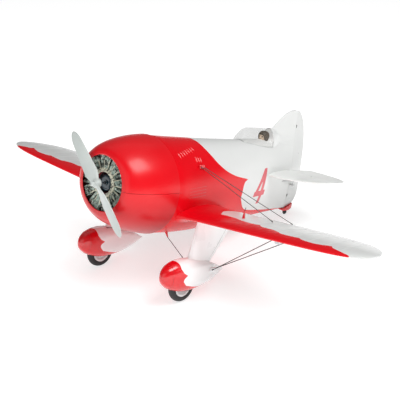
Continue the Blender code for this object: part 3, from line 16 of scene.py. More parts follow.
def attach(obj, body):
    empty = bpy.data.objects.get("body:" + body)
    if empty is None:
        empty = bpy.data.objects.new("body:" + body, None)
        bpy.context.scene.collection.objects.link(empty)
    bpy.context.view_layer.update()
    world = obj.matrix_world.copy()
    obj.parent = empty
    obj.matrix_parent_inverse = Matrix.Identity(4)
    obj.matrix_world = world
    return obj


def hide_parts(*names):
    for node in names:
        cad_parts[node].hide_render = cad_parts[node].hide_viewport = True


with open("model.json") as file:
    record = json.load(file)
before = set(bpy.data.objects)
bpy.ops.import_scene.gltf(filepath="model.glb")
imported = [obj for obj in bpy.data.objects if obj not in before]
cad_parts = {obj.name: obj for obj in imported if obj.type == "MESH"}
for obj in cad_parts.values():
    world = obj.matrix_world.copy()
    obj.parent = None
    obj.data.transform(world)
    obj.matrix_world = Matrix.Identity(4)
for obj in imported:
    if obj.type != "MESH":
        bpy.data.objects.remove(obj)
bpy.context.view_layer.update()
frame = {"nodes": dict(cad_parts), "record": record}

# Directions
LEFT, AFT, UP = Vector((1, 0, 0)), Vector((0, 1, 0)), Vector((0, 0, 1))

# Gaps
GAP = 0.0003
PIN_GAP = 0.0002
SEAT_GAP = 0.0005

# Body
MOUTH_RADIUS = 0.028
LIP_THICKNESS = 0.0015
NOSE_LENGTH = 0.055
KEEL_NOSE_LENGTH = 0.150
COWL_LENGTH = 0.058
SPLIT_HEIGHT = -0.002
TAPER_START = 0.066
BODY_HALF_WIDTH = 0.0508
BODY_TOP = 0.0455
BODY_DEPTH = 0.0622
TAIL_TOP = 0.0365
TAIL_DEPTH = 0.0537
TAIL_HALF_WIDTH = 0.0055
WIDTH_TAPER = 1.2
TOP_TAPER = 2.0
DEPTH_TAPER = 1.2
COWL_WALL = 0.004
COWL_STAND = 0.0015
BODY_WALL = 0.0035
BAY_LENGTH = 0.285

# Pressed lines and louvers
STRIP_ROOT = 0.0003
LOUVER_HEIGHT = 0.0005
LOUVER_WIDTH = 0.0006
LOUVER_LENGTH = 0.0078
LOUVER_ROWS = (((0.0700, 47.0), (0.0990, 58.0), 7), ((0.0960, 42.5), (0.1035, 41.5), 3))
CREASE_WIDTH = 0.00035
SIDE_CREASE_HEIGHTS = (0.0000, -0.0032, -0.0064, -0.0096)
SIDE_CREASE_SPAN = (0.076, 0.106)

# Hinges of the control surfaces
KNUCKLE_RADIUS = 0.0011
HINGE_NOTCH = 0.004
EYE_WIDTH = 0.0016
LUG_ROOT = 0.0012
SURFACE_SWING = math.radians(28)
EDGE_THICKNESS = 0.0008

# Fin and rudder
RUDDER_HINGE = 0.3165
FIN_TOP = 0.0718
FIN_TOP_LEAD = 0.307
FIN_RUN = 0.051
FIN_HEIGHT = 0.035
FIN_CURVE = 0.61
FIN_ROOT = 0.028
FIN_ROOT_THICKNESS = 0.0062
FIN_TIP_THICKNESS = 0.0034
FIN_FLARE = 0.0028
FIN_FLARE_HEIGHT = 0.0040
FIN_FLARE_FADE = 0.95
COVE_GAP = 0.0002
RUDDER_REACH = 0.0268
RUDDER_WIDEST = -0.010
RUDDER_BOTTOM = -0.0535
RUDDER_HEEL = 0.021
RUDDER_HEEL_CUT = 0.011
RUDDER_HEEL_SLOPE = 0.28
RUDDER_EYES = [Vector((0, RUDDER_HINGE, height)) for height in (0.052, -0.036)]
TAIL_POST = RUDDER_HINGE - KNUCKLE_RADIUS - GAP

# Wing
WING_HALF_SPAN = 0.255
WING_LEAD = 0.0695
WING_CHORD = 0.0836
WING_HEIGHT = -0.0317
DIHEDRAL = 0.0706
INCIDENCE = 0.0170
EDGE_CUT = 0.0100
EDGE_BOW = 0.0066
TIP_LEAD_SETBACK = 0.0241
TIP_POWER = 10
TIP_START = 0.94
TIP_END = 0.9996
LEAST_STEP = 0.00002
WING_THICKNESS = 0.0090
WING_TIP_THICKNESS = 0.0055
WING_CAMBER = 0.018
FILLET_SWELL = 1.1
FILLET_LENGTH = 0.007
FILLET_FORWARD = 0.007
SPAR_AFT = 0.094
RIB_PITCH = 0.0175
RIB_HEIGHT = 0.00018
RIB_WIDTH = 0.0007
RIBS_FROM = 0.09375
RIBS_TO = 0.241
RIB_STEPS = (-1.6, -1.0, -0.6, -0.3, 0.0, 0.3, 0.6, 1.0, 1.6)

# Ailerons
AILERON_OUTER = 0.228
AILERON_INNER = 0.142
AILERON_CHORD = 0.021
AILERON_END_GAP = 0.0010
AILERON_EYE_INSET = 0.016
AILERON_SERVO_SIZE = (0.010, 0.020, 0.005)
AILERON_HORN_X = AILERON_INNER + 0.006
AILERON_HORN_ARM = 0.008

# Tailplane and elevator
TAIL_HALF_SPAN = 0.079
TAIL_CENTRE = 0.306
TAIL_LEAD_REACH = 0.060
TAIL_TRAIL_REACH = 0.0355
TAIL_HEIGHT = -0.003
TAIL_THICKNESS = 0.0052
TAIL_TIP_THICKNESS = 0.0030
ELEVATOR_HINGE = 0.302
ELEVATOR_ROOT = 0.0115
ELEVATOR_ROOT_FLARE = 0.0065
ELEVATOR_EYE = 0.045
ELEVATOR_HORN_X = -0.019
ELEVATOR_HORN_ARM = 0.010

# Horns
HORN_THICKNESS = 0.0010
HORN_HOLE = 0.0016
HORN_RIM = 0.0010
HORN_ROOT_WIDTH = 0.0024
HORN_ROOT_AFT = 0.004
RUDDER_HORN_ARM = 0.0105
RUDDER_HORN_ROOT = (0.003, 0.007)
RUDDER_ROD_HEIGHT = -0.0155
RUDDER_ROD_DROP = 0.0085

# Landing gear
WHEEL_X = 0.0622
WHEEL_AFT = 0.066787
WHEEL_HEIGHT = -0.09678
WHEEL_RADIUS = 0.0172
TYRE_WIDTH = 0.0082
HUB_RADIUS = 0.0118
HUB_WIDTH = 0.0068
AXLE_RADIUS = 0.00075
WHEEL_WELL_GAP = 0.0012
PANT_NOSE = 0.0345
PANT_LENGTH = 0.097
PANT_HALF_WIDTH = 0.0124
PANT_HALF_HEIGHT = 0.0170
PANT_HEIGHT = -0.0854
PANT_DROOP = 0.004
PANT_FULLEST = 0.33
PANT_SQUARENESS = 2.5
LEG_TOP_LEAD = 0.0795
LEG_TOP_CHORD = 0.0600
LEG_FOOT_LEAD = 0.0715
LEG_FOOT_CHORD = 0.0345
LEG_THICKNESS = 0.0090
LEG_STRIP = 0.88
PANT_SEAM = 0.0440
TAILWHEEL_AFT = 0.3236
TAILWHEEL_HEIGHT = -0.0594
TAILWHEEL = Vector((0, TAILWHEEL_AFT, TAILWHEEL_HEIGHT))
TAILWHEEL_RADIUS = 0.0035
TAILWHEEL_WIDTH = 0.0024
TAILWHEEL_WELL_GAP = 0.0006
TAIL_FAIRING_FRONT = 0.309
TAIL_FAIRING_LENGTH = 0.0265
TAIL_FAIRING_DEPTH = 0.0044
TAIL_FAIRING_HALF_WIDTH = 0.0034
TAIL_AXLE_RADIUS = 0.0004

# Engine, motor and propeller
ENGINE_AFT = 0.006
ENGINE_PLATE = 0.002
ENGINE_HOLE = 0.0100
CRANKCASE_RADIUS = 0.0143
CRANKCASE_HOLE = 0.0110
CYLINDERS = 9
HEAD_RADIUS = 0.0262
HEAD_LENGTH = 0.0085
HEAD_DEPTH = 0.0040
HEAD_FIN_WIDTH = 0.0008
HEAD_HALF_WIDTH = 0.0046
BARREL_RADIUS = 0.0035
BARREL_SPAN = (0.0152, 0.0212)
PUSH_TUBE_SPAN = (0.0150, 0.0235)
PUSH_TUBE_TURN = 0.16
PUSH_TUBE_RADIUS = 0.00062
PIPE_SPAN = (0.0160, 0.0295)
PIPE_RADIUS = 0.0017
CYLINDER_STEPS = 6
STUDS = 28
SHAFT_RADIUS = 0.00075
BELL_FRONT = 0.005
BELL_RADIUS = 0.0087
BELL_LENGTH = 0.016
PROP_AFT = -0.0070
PROP_RADIUS = 0.060
PROP_HUB_RADIUS = 0.0046
PROP_HUB_LENGTH = 0.0070
PROP_CHORD = 0.0138
PROP_PITCH = 0.125
PROP_SHOULDER = 0.25
PROP_TIP_ROUND = 0.20
PROP_REST_ANGLE = math.radians(44.4)
PROP_NUT_LENGTH = 0.0034
PROP_NUT_RADIUS = 0.0028

# Cabin
PILOT_AFT = 0.2545
CANOPY_FRONT = 0.205
CANOPY_LENGTH = 0.071
CANOPY_TOP = 0.0530
CANOPY_HALF_WIDTH = 0.0112
HOOD_WALL = 0.00048
CANOPY_PEAK = 0.22
CANOPY_BROW = 0.5
CANOPY_FALL = 0.30
WINDOW_END = 0.2645
WINDOW_BOW = 0.0016
BULKHEAD_FRONT = WINDOW_END - 0.0006
BULKHEAD_BACK = WINDOW_END + 0.0010
BULKHEAD_ROOT = 0.004
DECK_FRONT = CANOPY_FRONT + 0.003
DECK_BACK = WINDOW_END - 0.0008
DECK_LIFT = 0.0003
DECK_THICKNESS = 0.0008
HOOD_TAIL = 0.026
COCKPIT_FRONT = 0.226
COCKPIT_LENGTH = 0.040
COCKPIT_HALF_WIDTH = 0.0072
COCKPIT_FLOOR = 0.0205
PILOT_HEAD_HEIGHT = 0.0402
PILOT_HEAD_RADIUS = 0.0065

# Bracing
WIRE_RADIUS = 0.00035
LOWER_WIRE_RADIUS = 0.00045
WIRE_STANDOFF = 0.0007
UPPER_ANCHORS = ((0.0968, 0.0208), (0.1025, 0.0195))
UPPER_FEET = ((0.1242, 0.1215), (0.1320, 0.1460))
LOWER_PANT_ANCHORS = ((0.100, -0.0830), (0.1065, -0.0815))
LOWER_WING_ANCHORS = ((0.1458, 0.1129), (0.1633, 0.1131))
TAB_THICKNESS = 0.0010
TAB_MARGIN = 0.0014
POST_X = 0.1007
POST_AFT = 0.1034
POST_HEIGHT = 0.008
POST_CHORD = 0.005
POST_ROD = 0.005
BELLY_POST_X = 0.018
BELLY_POST_AFT = 0.083
BELLY_POST_HEIGHT = 0.0060
BELLY_WIRE_FOOT = (-0.0045, 0.0685)

# Colours
RED = (0.74, 0.002, 0.008)
# Darker red for the cowl's belly: painted shade
BELLY_SHADE_RED = (0.40, 0.002, 0.006)
NUMERAL_RED = (0.66, 0.12, 0.14)
WHITE = (0.71, 0.72, 0.71)
# Lighter and darker copies of the white paint: painted light on the pants, legs, tailplane and cockpit deck,
# painted shade on the rudder
GEAR_WHITE_PAINTED_LIGHT = (0.93, 0.94, 0.94)
TAILPLANE_WHITE_PAINTED_LIGHT = (0.84, 0.85, 0.83)
RUDDER_WHITE_PAINTED_SHADE = (0.64, 0.65, 0.64)
DECK_WHITE_PAINTED_LIGHT = (0.96, 0.96, 0.95)
CLEAR_TINT = (0.15, 0.16, 0.14)
CLEAR_ALPHA = 0.12
FLOOR_GREY = (0.45, 0.45, 0.45)
LIGHT_WHITE = (1.0, 1.0, 1.0, 1.0)
# Heights over the floor between which painted shade deepens the cowl's red towards the belly
COWL_SHADE = (0.070, 0.119)
PAINT_EDGE = 0.00012
FOAM_GRAIN = 900.0
FINE_GRAIN = 1200.0
# Glow of the cockpit deck and of the wall behind the pilot: painted light that lifts the shade under the hood
DECK_GLOW = 0.03
BULKHEAD_GLOW = 0.28

# Light and camera
# The floor's own light: distance and strength at the start and the end of each soft step. The weaker glow
# near the middle gives less light to the plane's underside and darkens the floor under it as a painted
# shadow.
FLOOR_RING = ((0.06, 0.62), (0.40, 1.45))
FLOOR_BACK = ((-0.05, 1.0), (0.35, 0.60))
FLOOR_RIGHT = ((0.8, 1.0), (1.8, 0.4))
AWAY = (-0.67, 0.74, 0.0)
RIGHTWARD = (0.74, 0.67, 0.0)
FLOOR_HALF = 40.0
SKY_LIGHT = 0.14
# Name, place, width, height and power of each lamp
LAMPS = (
    ("key_softbox", (0.85, 0.06, 1.36), 0.95, 0.80, 19.5),
    ("fill_panel", (-0.6, 0.5, 2.6), 3.0, 3.0, 6.0),
    ("front_softbox", (0.2, -2.4, 1.0), 3.0, 2.0, 14.0),
)
LAMP_AIM = Vector((0, 0, 0.08))
CAMERA_PLACE = (0.58403, -0.66416, 0.40362)
CAMERA_LOOK = Vector((-0.62546, 0.69136, -0.3617))
CAMERA_LENS = 74.716
CAMERA_SENSOR = 36.0
CAMERA_NEAR = 0.01

# Fineness of the skins
HULL_SIDES = 176
HULL_STATIONS = 210
CHORD_STEPS = 40
ROUND_SIDES = 96
WIRE_SIDES = 12
SHARP_ANGLE = 38
FUSELAGE_SHARP_ANGLE = 32

# Paint borders, in millimetres.
# On the body: aft place of the red's edge by height, in two arcs that meet in a point.
BODY_BORDER = (
    ((60, 116), (46, 118), (41, 120), (37.2, 121.2), (24, 130.9), (14.3, 144.1), (5.4, 165.5), (-1.9, 197.4)),
    ((-1.9, 197.4), (-4, 191), (-10.5, 187.4), (-21.1, 187), (-29.9, 193), (-40.1, 207.8), (-46, 240),
     (-52.5, 303), (-54, 330)),
)
# On the wing: aft place of the red's edge by distance from the middle, with a point where two arcs meet.
WING_BORDER = (
    ((0, 97), (77, 96), (83, 97), (95, 96), (108.8, 92), (120, 91.3), (131, 93.5)),
    ((131, 93.5), (132, 90), (137.5, 88.3), (147, 88.4), (155, 86), (163, 82.6), (172, 82.7), (183, 84)),
    ((183, 84), (184, 82), (198.5, 79.8), (208, 81.3), (216, 85.2)),
    ((216, 85.2), (218, 82.5), (226, 79.3), (234, 77.6), (240, 77), (246, 70), (255, 60)),
)
WING_ROOT_BORDER = ((60, 90), (96, 77), (115, 66), (150, 60), (170, 58))
# White field on the side of a pant, by aft place and height.
PANT_FIELD = (
    (55, -55), (53, -69), (52.8, -71.1), (53.2, -75.3), (56.3, -79.4), (61.5, -82.3), (56.7, -85),
    (56.3, -88.2), (60.7, -92.8), (71.1, -95.6), (84, -98.2), (98, -98.1), (112, -96), (125, -91.3),
    (140, -88), (140, -55),
)
# Plain race numeral, upright, in a box one unit high.
NUMERAL = (
    ((0.36, 0.0), (0.52, 0.0), (0.52, 1.0), (0.36, 1.0)),
    ((0.0, 0.24), (0.64, 0.24), (0.64, 0.39), (0.0, 0.39)),
    ((0.0, 0.30), (0.17, 0.30), (0.52, 1.0), (0.36, 1.0)),
)
NUMERAL_WIDTH = 0.64
NUMERAL_HEIGHT = 0.043
NUMERAL_FOOT = (0.2195, -0.0365)
NUMERAL_SLANT = 0.18
NUMERAL_MARGIN = 0.6
NUMERAL_LEAST_X = 0.004
FAR_OUTSIDE = -0.02

# Middle of the standing plane, fore and aft
MIDDLE_AFT = 0.16223203


def standing():
    """Turn and shift that set the airframe on its three wheels, over the middle of the floor."""
    run, climb = TAILWHEEL_AFT - WHEEL_AFT, TAILWHEEL_HEIGHT - WHEEL_HEIGHT
    pitch = math.atan2(climb, run) + math.asin((WHEEL_RADIUS - TAILWHEEL_RADIUS) / math.hypot(run, climb))
    lift = WHEEL_RADIUS + WHEEL_AFT * math.sin(pitch) - WHEEL_HEIGHT * math.cos(pitch)
    return Matrix.Translation((0, -MIDDLE_AFT, lift)) @ Matrix.Rotation(-pitch, 4, "X")


STAND = standing()


# Numbers and rings


def clamp(value, low=0.0, high=1.0):
    return min(max(value, low), high)


def toward(start, end, share):
    """Value on the way from one number to another."""
    return start + (end - start) * share


def spread(low, high, steps):
    """Evenly spaced numbers, with both ends."""
    return [low + (high - low) * k / steps for k in range(steps + 1)]


def circle_turns(count, first=0.0):
    """Angles of even steps round a circle. The first is given in steps."""
    return [2 * math.pi * (k + first) / count for k in range(count)]


def squircle(turn, power):
    """Point of a unit superellipse."""
    c, s = math.cos(turn), math.sin(turn)
    return math.copysign(abs(c) ** (2 / power), c), math.copysign(abs(s) ** (2 / power), s)


def squircle_ring(count, power):
    return [squircle(turn, power) for turn in circle_turns(count, 0.5)]


def mirrored(side):
    """Points of one side, then the same points back along the other side."""
    return side + [Vector((-p.x, p.y, p.z)) for p in reversed(side)]


# Mesh building


def band(count, here, after):
    """Faces between two loops, given the number of each loop's first point."""
    return [(here + i, here + (i + 1) % count, after + (i + 1) % count, after + i) for i in range(count)]


class Shape:
    """Points and faces of one or more closed skins."""

    def __init__(self):
        self.points = []
        self.faces = []

    def add(self, points, faces):
        start = len(self.points)
        self.points += [Vector(p) for p in points]
        self.faces += [tuple(start + i for i in face) for face in faces]
        return self

    def join(self, other):
        return self.add(other.points, other.faces)

    def loft(self, loops):
        """Closed skin through loops of one even point count, each running out along one side and back."""
        count, last = len(loops[0]), len(loops) - 1
        faces = []
        for row in range(last):
            faces += band(count, row * count, (row + 1) * count)
        for i in range(count // 2 - 1):
            cap = (i, i + 1, count - 2 - i, count - 1 - i)
            faces.append(cap)
            faces.append(tuple(last * count + k for k in reversed(cap)))
        return self.add([p for loop in loops for p in loop], faces)

    def closed_ring(self, loops):
        """Skin through loops, the last joined to the first."""
        count, rows = len(loops[0]), len(loops)
        faces = []
        for row in range(rows):
            faces += band(count, row * count, (row + 1) % rows * count)
        return self.add([p for loop in loops for p in loop], faces)

    def turned(self, profile, sides, centre, axis, ring=False):
        """Profile of (along, radius) pairs turned about an axis. A ring's profile closes on itself."""
        axis = Vector(axis).normalized()
        across = axis.orthogonal().normalized()
        upward = axis.cross(across)
        spokes = [across * math.cos(t) + upward * math.sin(t) for t in circle_turns(sides)]
        loops = [[Vector(centre) + axis * p + spoke * r for spoke in spokes] for p, r in profile]
        return self.closed_ring(loops) if ring else self.loft(loops)

    def tube(self, path, radius, sides=WIRE_SIDES):
        """Round bar along a path, with mitred bends."""
        path = [Vector(p) for p in path]
        runs = [(b - a).normalized() for a, b in zip(path, path[1:])]
        across = runs[0].orthogonal().normalized()
        loops = []
        for i, point in enumerate(path):
            before, after = runs[max(i - 1, 0)], runs[min(i, len(runs) - 1)]
            if i:
                across = (across - before * across.dot(before)).normalized()
            other = before.cross(across)
            mitre = before + after
            loop = []
            for turn in circle_turns(sides):
                corner = point + (across * math.cos(turn) + other * math.sin(turn)) * radius
                loop.append(corner - before * ((corner - point).dot(mitre) / before.dot(mitre)))
            loops.append(loop)
        return self.loft(loops)

    def box(self, low, high):
        (x0, y0, z0), (x1, y1, z1) = low, high
        return self.loft([[(x, y0, z0), (x, y1, z0), (x, y1, z1), (x, y0, z1)] for x in (x0, x1)])


def placed(name, data):
    """New object in the scene."""
    thing = bpy.data.objects.new(name, data)
    bpy.context.scene.collection.objects.link(thing)
    return thing


def as_mesh(form):
    """Mesh of a shape, its faces turned outwards. A form that is a mesh already stays as it is."""
    if not isinstance(form, Shape):
        return form
    mesh = bpy.data.meshes.new("form")
    mesh.from_pydata(form.points, [], form.faces)
    drawn = bmesh.new()
    drawn.from_mesh(mesh)
    bmesh.ops.recalc_face_normals(drawn, faces=drawn.faces)
    drawn.to_mesh(mesh)
    drawn.free()
    return mesh


def worked(stock, helpers):
    """Mesh of an object after its modifiers. The object and its helpers are taken away."""
    graph = bpy.context.evaluated_depsgraph_get()
    mesh = bpy.data.meshes.new_from_object(stock.evaluated_get(graph))
    for thing in (*helpers, stock):
        bpy.data.objects.remove(thing)
    return mesh


def carve(form, tools, operation="DIFFERENCE"):
    """Mesh of a form with shapes cut from it, or joined to it."""
    stock = placed("stock", as_mesh(form))
    cutters = [placed("cutter", as_mesh(tool)) for tool in tools]
    for cutter in cutters:
        step = stock.modifiers.new("cut", "BOOLEAN")
        step.operation, step.solver, step.object = operation, "EXACT", cutter
    return worked(stock, cutters)


def joined(form, shape):
    """Mesh of a form with another shape's skin added."""
    mesh, extra = as_mesh(form), as_mesh(shape)
    drawn = bmesh.new()
    for skin in (mesh, extra):
        drawn.from_mesh(skin)
    drawn.to_mesh(mesh)
    drawn.free()
    bpy.data.meshes.remove(extra)
    return mesh


def other_side(mesh):
    """The same skin on the right of the plane."""
    twin = mesh.copy()
    twin.transform(Matrix.Scale(-1, 4, LEFT))
    twin.flip_normals()
    return twin


def write_field(mesh, name, rule):
    """Stores a number for each point of a skin, from its place on the airframe."""
    layer = mesh.attributes.new(name, "FLOAT", "POINT")
    layer.data.foreach_set("value", [rule(v.co) for v in mesh.vertices])


def finish_piece(name, form, coat, body="airframe", nodes=(), angle=SHARP_ANGLE):
    """Stands a form on the wheels as a piece of the plane, riding a body."""
    mesh = as_mesh(form)
    mesh.transform(STAND)
    mesh.materials.clear()
    mesh.materials.append(COATS[coat])
    mesh.polygons.foreach_set("material_index", [0] * len(mesh.polygons))
    mesh.shade_smooth()
    mesh.set_sharp_from_angle(angle=math.radians(angle))
    mesh.name = name
    piece = placed(name, mesh)
    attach(piece, body)
    if nodes:
        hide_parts(*nodes)


# Paint borders


def eased(points):
    """Smooth curve through (place, value) points that keeps between its neighbours."""
    xs, ys = [np.array(c, float) for c in zip(*sorted(points))]
    steps = np.diff(xs)
    slopes = np.diff(ys) / steps
    tangents = np.zeros(len(xs))
    tangents[0], tangents[-1] = slopes[0], slopes[-1]
    for i in range(1, len(xs) - 1):
        if slopes[i - 1] * slopes[i] > 0:
            a, b = 2 * steps[i] + steps[i - 1], steps[i] + 2 * steps[i - 1]
            tangents[i] = (a + b) / (a / slopes[i - 1] + b / slopes[i])

    def value(place):
        place = clamp(place, xs[0], xs[-1])
        i = clamp(int(np.searchsorted(xs, place)) - 1, 0, len(steps) - 1)
        t = (place - xs[i]) / steps[i]
        ahead = t * t * (3 - 2 * t)
        bend = t * (1 - t) ** 2 * tangents[i] + t * t * (t - 1) * tangents[i + 1]
        return ys[i] * (1 - ahead) + ys[i + 1] * ahead + steps[i] * bend

    return value, float(xs[0]), float(xs[-1])


class Border:
    """Scalloped edge made of smooth arcs that meet in points."""

    def __init__(self, arcs):
        self.arcs = [eased(arc) for arc in arcs]

    def at(self, place):
        for value, low, high in self.arcs:
            if low <= place <= high:
                return value(place)
        nearest = min(self.arcs, key=lambda arc: min(abs(place - arc[1]), abs(place - arc[2])))
        return nearest[0](place)


BODY_EDGE = Border(BODY_BORDER)
WING_EDGE = Border(WING_BORDER)
WING_ROOT_EDGE = Border((WING_ROOT_BORDER,))


def inside_distance(points, x, y):
    """Distance to a closed outline, positive inside."""
    near = 1e9
    inside = False
    for (ax, ay), (bx, by) in zip(points, points[1:] + points[:1]):
        dx, dy = bx - ax, by - ay
        share = clamp(((x - ax) * dx + (y - ay) * dy) / (dx * dx + dy * dy))
        near = min(near, math.hypot(ax + dx * share - x, ay + dy * share - y))
        if (ay > y) != (by > y) and x < ax + dx * (y - ay) / dy:
            inside = not inside
    return near if inside else -near


def body_white(place):
    """Positive where the body is white."""
    return place.y - BODY_EDGE.at(place.z * 1000) / 1000


def wing_white(place):
    x, aft = abs(place.x) * 1000, place.y * 1000
    return min(aft - WING_EDGE.at(x), x - WING_ROOT_EDGE.at(aft)) / 1000


def pant_white(place):
    return inside_distance(PANT_FIELD, place.y * 1000, place.z * 1000) / 1000


def body_numeral(place):
    """Positive on the numeral's strokes, which read the right way on both sides."""
    upward = (place.z - NUMERAL_FOOT[1]) / NUMERAL_HEIGHT
    along = (place.y - NUMERAL_FOOT[0]) / NUMERAL_HEIGHT
    if place.x < 0:
        along = NUMERAL_WIDTH - along
    along -= NUMERAL_SLANT * (upward - 0.5)
    near = all(-NUMERAL_MARGIN < share < 1 + NUMERAL_MARGIN for share in (upward, along))
    if not near or abs(place.x) < NUMERAL_LEAST_X:
        return FAR_OUTSIDE
    return NUMERAL_HEIGHT * max(inside_distance(stroke, along, upward) for stroke in NUMERAL)


# Body form


def rise(aft, length):
    """Quarter-ellipse growth from 0 at the mouth to 1 at a length."""
    return math.sqrt(1 - (1 - clamp(aft / length)) ** 2)


def taper(aft):
    return clamp((aft - TAPER_START) / (TAIL_POST - TAPER_START))


def body_section(aft):
    """Half width, middle height and half height of the body."""
    lip = MOUTH_RADIUS + LIP_THICKNESS
    share = taper(aft)
    width = toward(TAIL_HALF_WIDTH, BODY_HALF_WIDTH, 1 - share**WIDTH_TAPER)
    top = toward(TAIL_TOP, BODY_TOP, (1 - share) ** TOP_TAPER)
    depth = toward(BODY_DEPTH, TAIL_DEPTH, share**DEPTH_TAPER)
    nose, keel = rise(aft, NOSE_LENGTH), rise(aft, KEEL_NOSE_LENGTH)
    width, top, depth = toward(lip, width, nose), toward(lip, top, nose), toward(lip, depth, keel)
    return width, (top - depth) / 2, (top + depth) / 2


def body_point(aft, turn, inset=0.0):
    width, middle, height = body_section(aft)
    return Vector(((width - inset) * math.cos(turn), aft, middle + (height - inset) * math.sin(turn)))


def body_side(aft, height, inset=0.0):
    """Half width of the body at a height."""
    width, middle, half = body_section(aft)
    share = (height - middle) / (half - inset)
    return (width - inset) * math.sqrt(max(1 - share * share, 0.0))


def body_roof(aft, x, inset=0.0):
    """Height of the body's upper skin at a distance from the middle."""
    width, middle, half = body_section(aft)
    share = x / (width - inset)
    return middle + (half - inset) * math.sqrt(max(1 - share * share, 0.0))


def body_floor(aft, x):
    return 2 * body_section(aft)[1] - body_roof(aft, x)


def body_outward(place):
    """Direction out from the body's skin."""
    width, middle, half = body_section(place.y)
    return Vector((place.x / width**2, 0, (place.z - middle) / half**2)).normalized()


def strip(path, outward, width, height):
    """Narrow raised band along a path on a skin."""
    loops = []
    for i, place in enumerate(path):
        along = (path[min(i + 1, len(path) - 1)] - path[max(i - 1, 0)]).normalized()
        out = outward(place)
        across = along.cross(out).normalized() * width / 2
        sunk, proud = place - out * STRIP_ROOT, place + out * height
        loops.append([sunk - across, proud - across * 0.7, proud + across * 0.7, sunk + across])
    return Shape().loft(loops)


def body_loop(aft, inset=0.0):
    return [body_point(aft, turn, inset) for turn in circle_turns(HULL_SIDES, 0.5)]


def fuselage():
    """Hollow shell from the cowl seam to the rudder post, open in front."""
    start = COWL_LENGTH + GAP / 2
    loops = [body_loop(aft) for aft in reversed(spread(start, RUDDER_HINGE - GAP, HULL_STATIONS))]
    loops += [body_loop(aft, BODY_WALL) for aft in spread(start, BAY_LENGTH, 40)]
    return Shape().loft(loops)


def louver():
    """Pressed slot: a ramp that rises to an open back edge."""
    loops = []
    for share in spread(-1.0, 1.0, 12):
        high = LOUVER_HEIGHT * max(1 - abs(share) ** 2.5, 0.02)
        ramp = ((-LOUVER_WIDTH, 0.0), (-LOUVER_WIDTH * 0.3, high * 0.6), (LOUVER_WIDTH * 0.5, high))
        under = [(x, -LOUVER_HEIGHT * 0.5) for x, z in reversed(ramp)]
        loops.append([Vector((x, LOUVER_LENGTH / 2 * share, z)) for x, z in list(ramp) + under])
    return Shape().loft(loops)


def louver_rows():
    """Paths up the shoulder behind the cowl, one for each row, with the number of louvers on it."""
    rows = []
    for front, back, count in LOUVER_ROWS:
        afts, turns = (spread(a, b, 8) for a, b in zip(front, back))
        rows.append(([body_point(aft, math.radians(turn)) for aft, turn in zip(afts, turns)], count))
    return rows


def side_creases():
    """Fine pressed lines along the body's side, over the wing's root."""
    lines = Shape()
    for height in SIDE_CREASE_HEIGHTS:
        path = [Vector((body_side(aft, height), aft, height)) for aft in spread(*SIDE_CREASE_SPAN, 24)]
        lines.join(strip(path, body_outward, CREASE_WIDTH * 2, 0.00012))
    return lines


def fin_half_thickness(height):
    share = clamp((height - FIN_ROOT) / (FIN_TOP - FIN_ROOT))
    return toward(FIN_ROOT_THICKNESS, FIN_TIP_THICKNESS, share) / 2


def fin_lead(height):
    return FIN_TOP_LEAD - FIN_RUN * (max(FIN_TOP - height, 0.0) / FIN_HEIGHT) ** FIN_CURVE


FIN_SIDE = eased(((0.0, 0.10), (0.02, 0.28), (0.1, 0.54), (0.3, 0.87), (0.6, 1.0), (1.0, 1.0)))[0]


def fin_flare(c, above):
    """Spread of the fin's foot, fading upwards and towards the rudder."""
    fade = 1 - FIN_FLARE_FADE * max((c - 0.4) / 0.6, 0.0) ** 1.5
    return FIN_FLARE * math.exp(-above / FIN_FLARE_HEIGHT) * min(c * 6, 1.0) * fade


def fin():
    """Blade over the tail, from inside the body up, spreading softly where it meets the skin."""
    loops = []
    for share in spread(0.0, 1.0, 48):
        height = toward(FIN_ROOT, FIN_TOP * 0.9996, 1 - (1 - share) ** 1.6)
        lead = fin_lead(height)
        chord = RUDDER_HINGE - GAP - lead
        side = []
        for c in [s**2 for s in spread(1.0, 0.0, 28)]:
            aft = lead + chord * c
            above = max(height - body_roof(aft, 0.0), 0.0)
            half = fin_half_thickness(height) * FIN_SIDE(c) + fin_flare(c, above)
            side.append(Vector((half, aft, height)))
        loops.append(mirrored(side))
    return Shape().loft(loops)


def cockpit_opening():
    half = COCKPIT_LENGTH / 2
    ring = [(COCKPIT_HALF_WIDTH * p, COCKPIT_FRONT + half * (1 + q)) for p, q in squircle_ring(48, 3.0)]
    return Shape().loft([[Vector((x, aft, z)) for x, aft in ring] for z in (COCKPIT_FLOOR, BODY_TOP * 1.2)])


def cowl_half(upper):
    """Half of the cowl, split level, with a rolled lip at the mouth."""
    end = COWL_LENGTH - GAP / 2
    roll = LIP_THICKNESS / 2
    stations = [roll * (1 - math.cos(math.pi / 2 * k / 5)) for k in range(6)]
    stations += [roll + (end - roll) * (k / 46) ** 1.7 for k in range(1, 46)] + [end - SEAT_GAP, end]
    edge = SPLIT_HEIGHT + (GAP / 2 if upper else -GAP / 2)
    loops = []
    for aft in stations:
        width, middle, height = body_section(aft)
        inset = min(width - MOUTH_RADIUS, COWL_WALL)
        bulge = max(rise(aft, roll), 0.02)
        stand = COWL_STAND * aft / end - (SEAT_GAP if aft == end else 0.0)
        loop = []
        for depth in (inset / 2 * (1 - bulge) - stand, inset / 2 * (1 + bulge)):
            first = math.asin((edge - middle) / (height - depth))
            last = math.pi - first
            if not upper:
                first, last = last, first + 2 * math.pi
            side = [body_point(aft, turn, depth) for turn in spread(first, last, 72)]
            loop += side if depth < inset / 2 else side[::-1]
        loops.append(loop)
    return Shape().loft(loops)


# Control surfaces


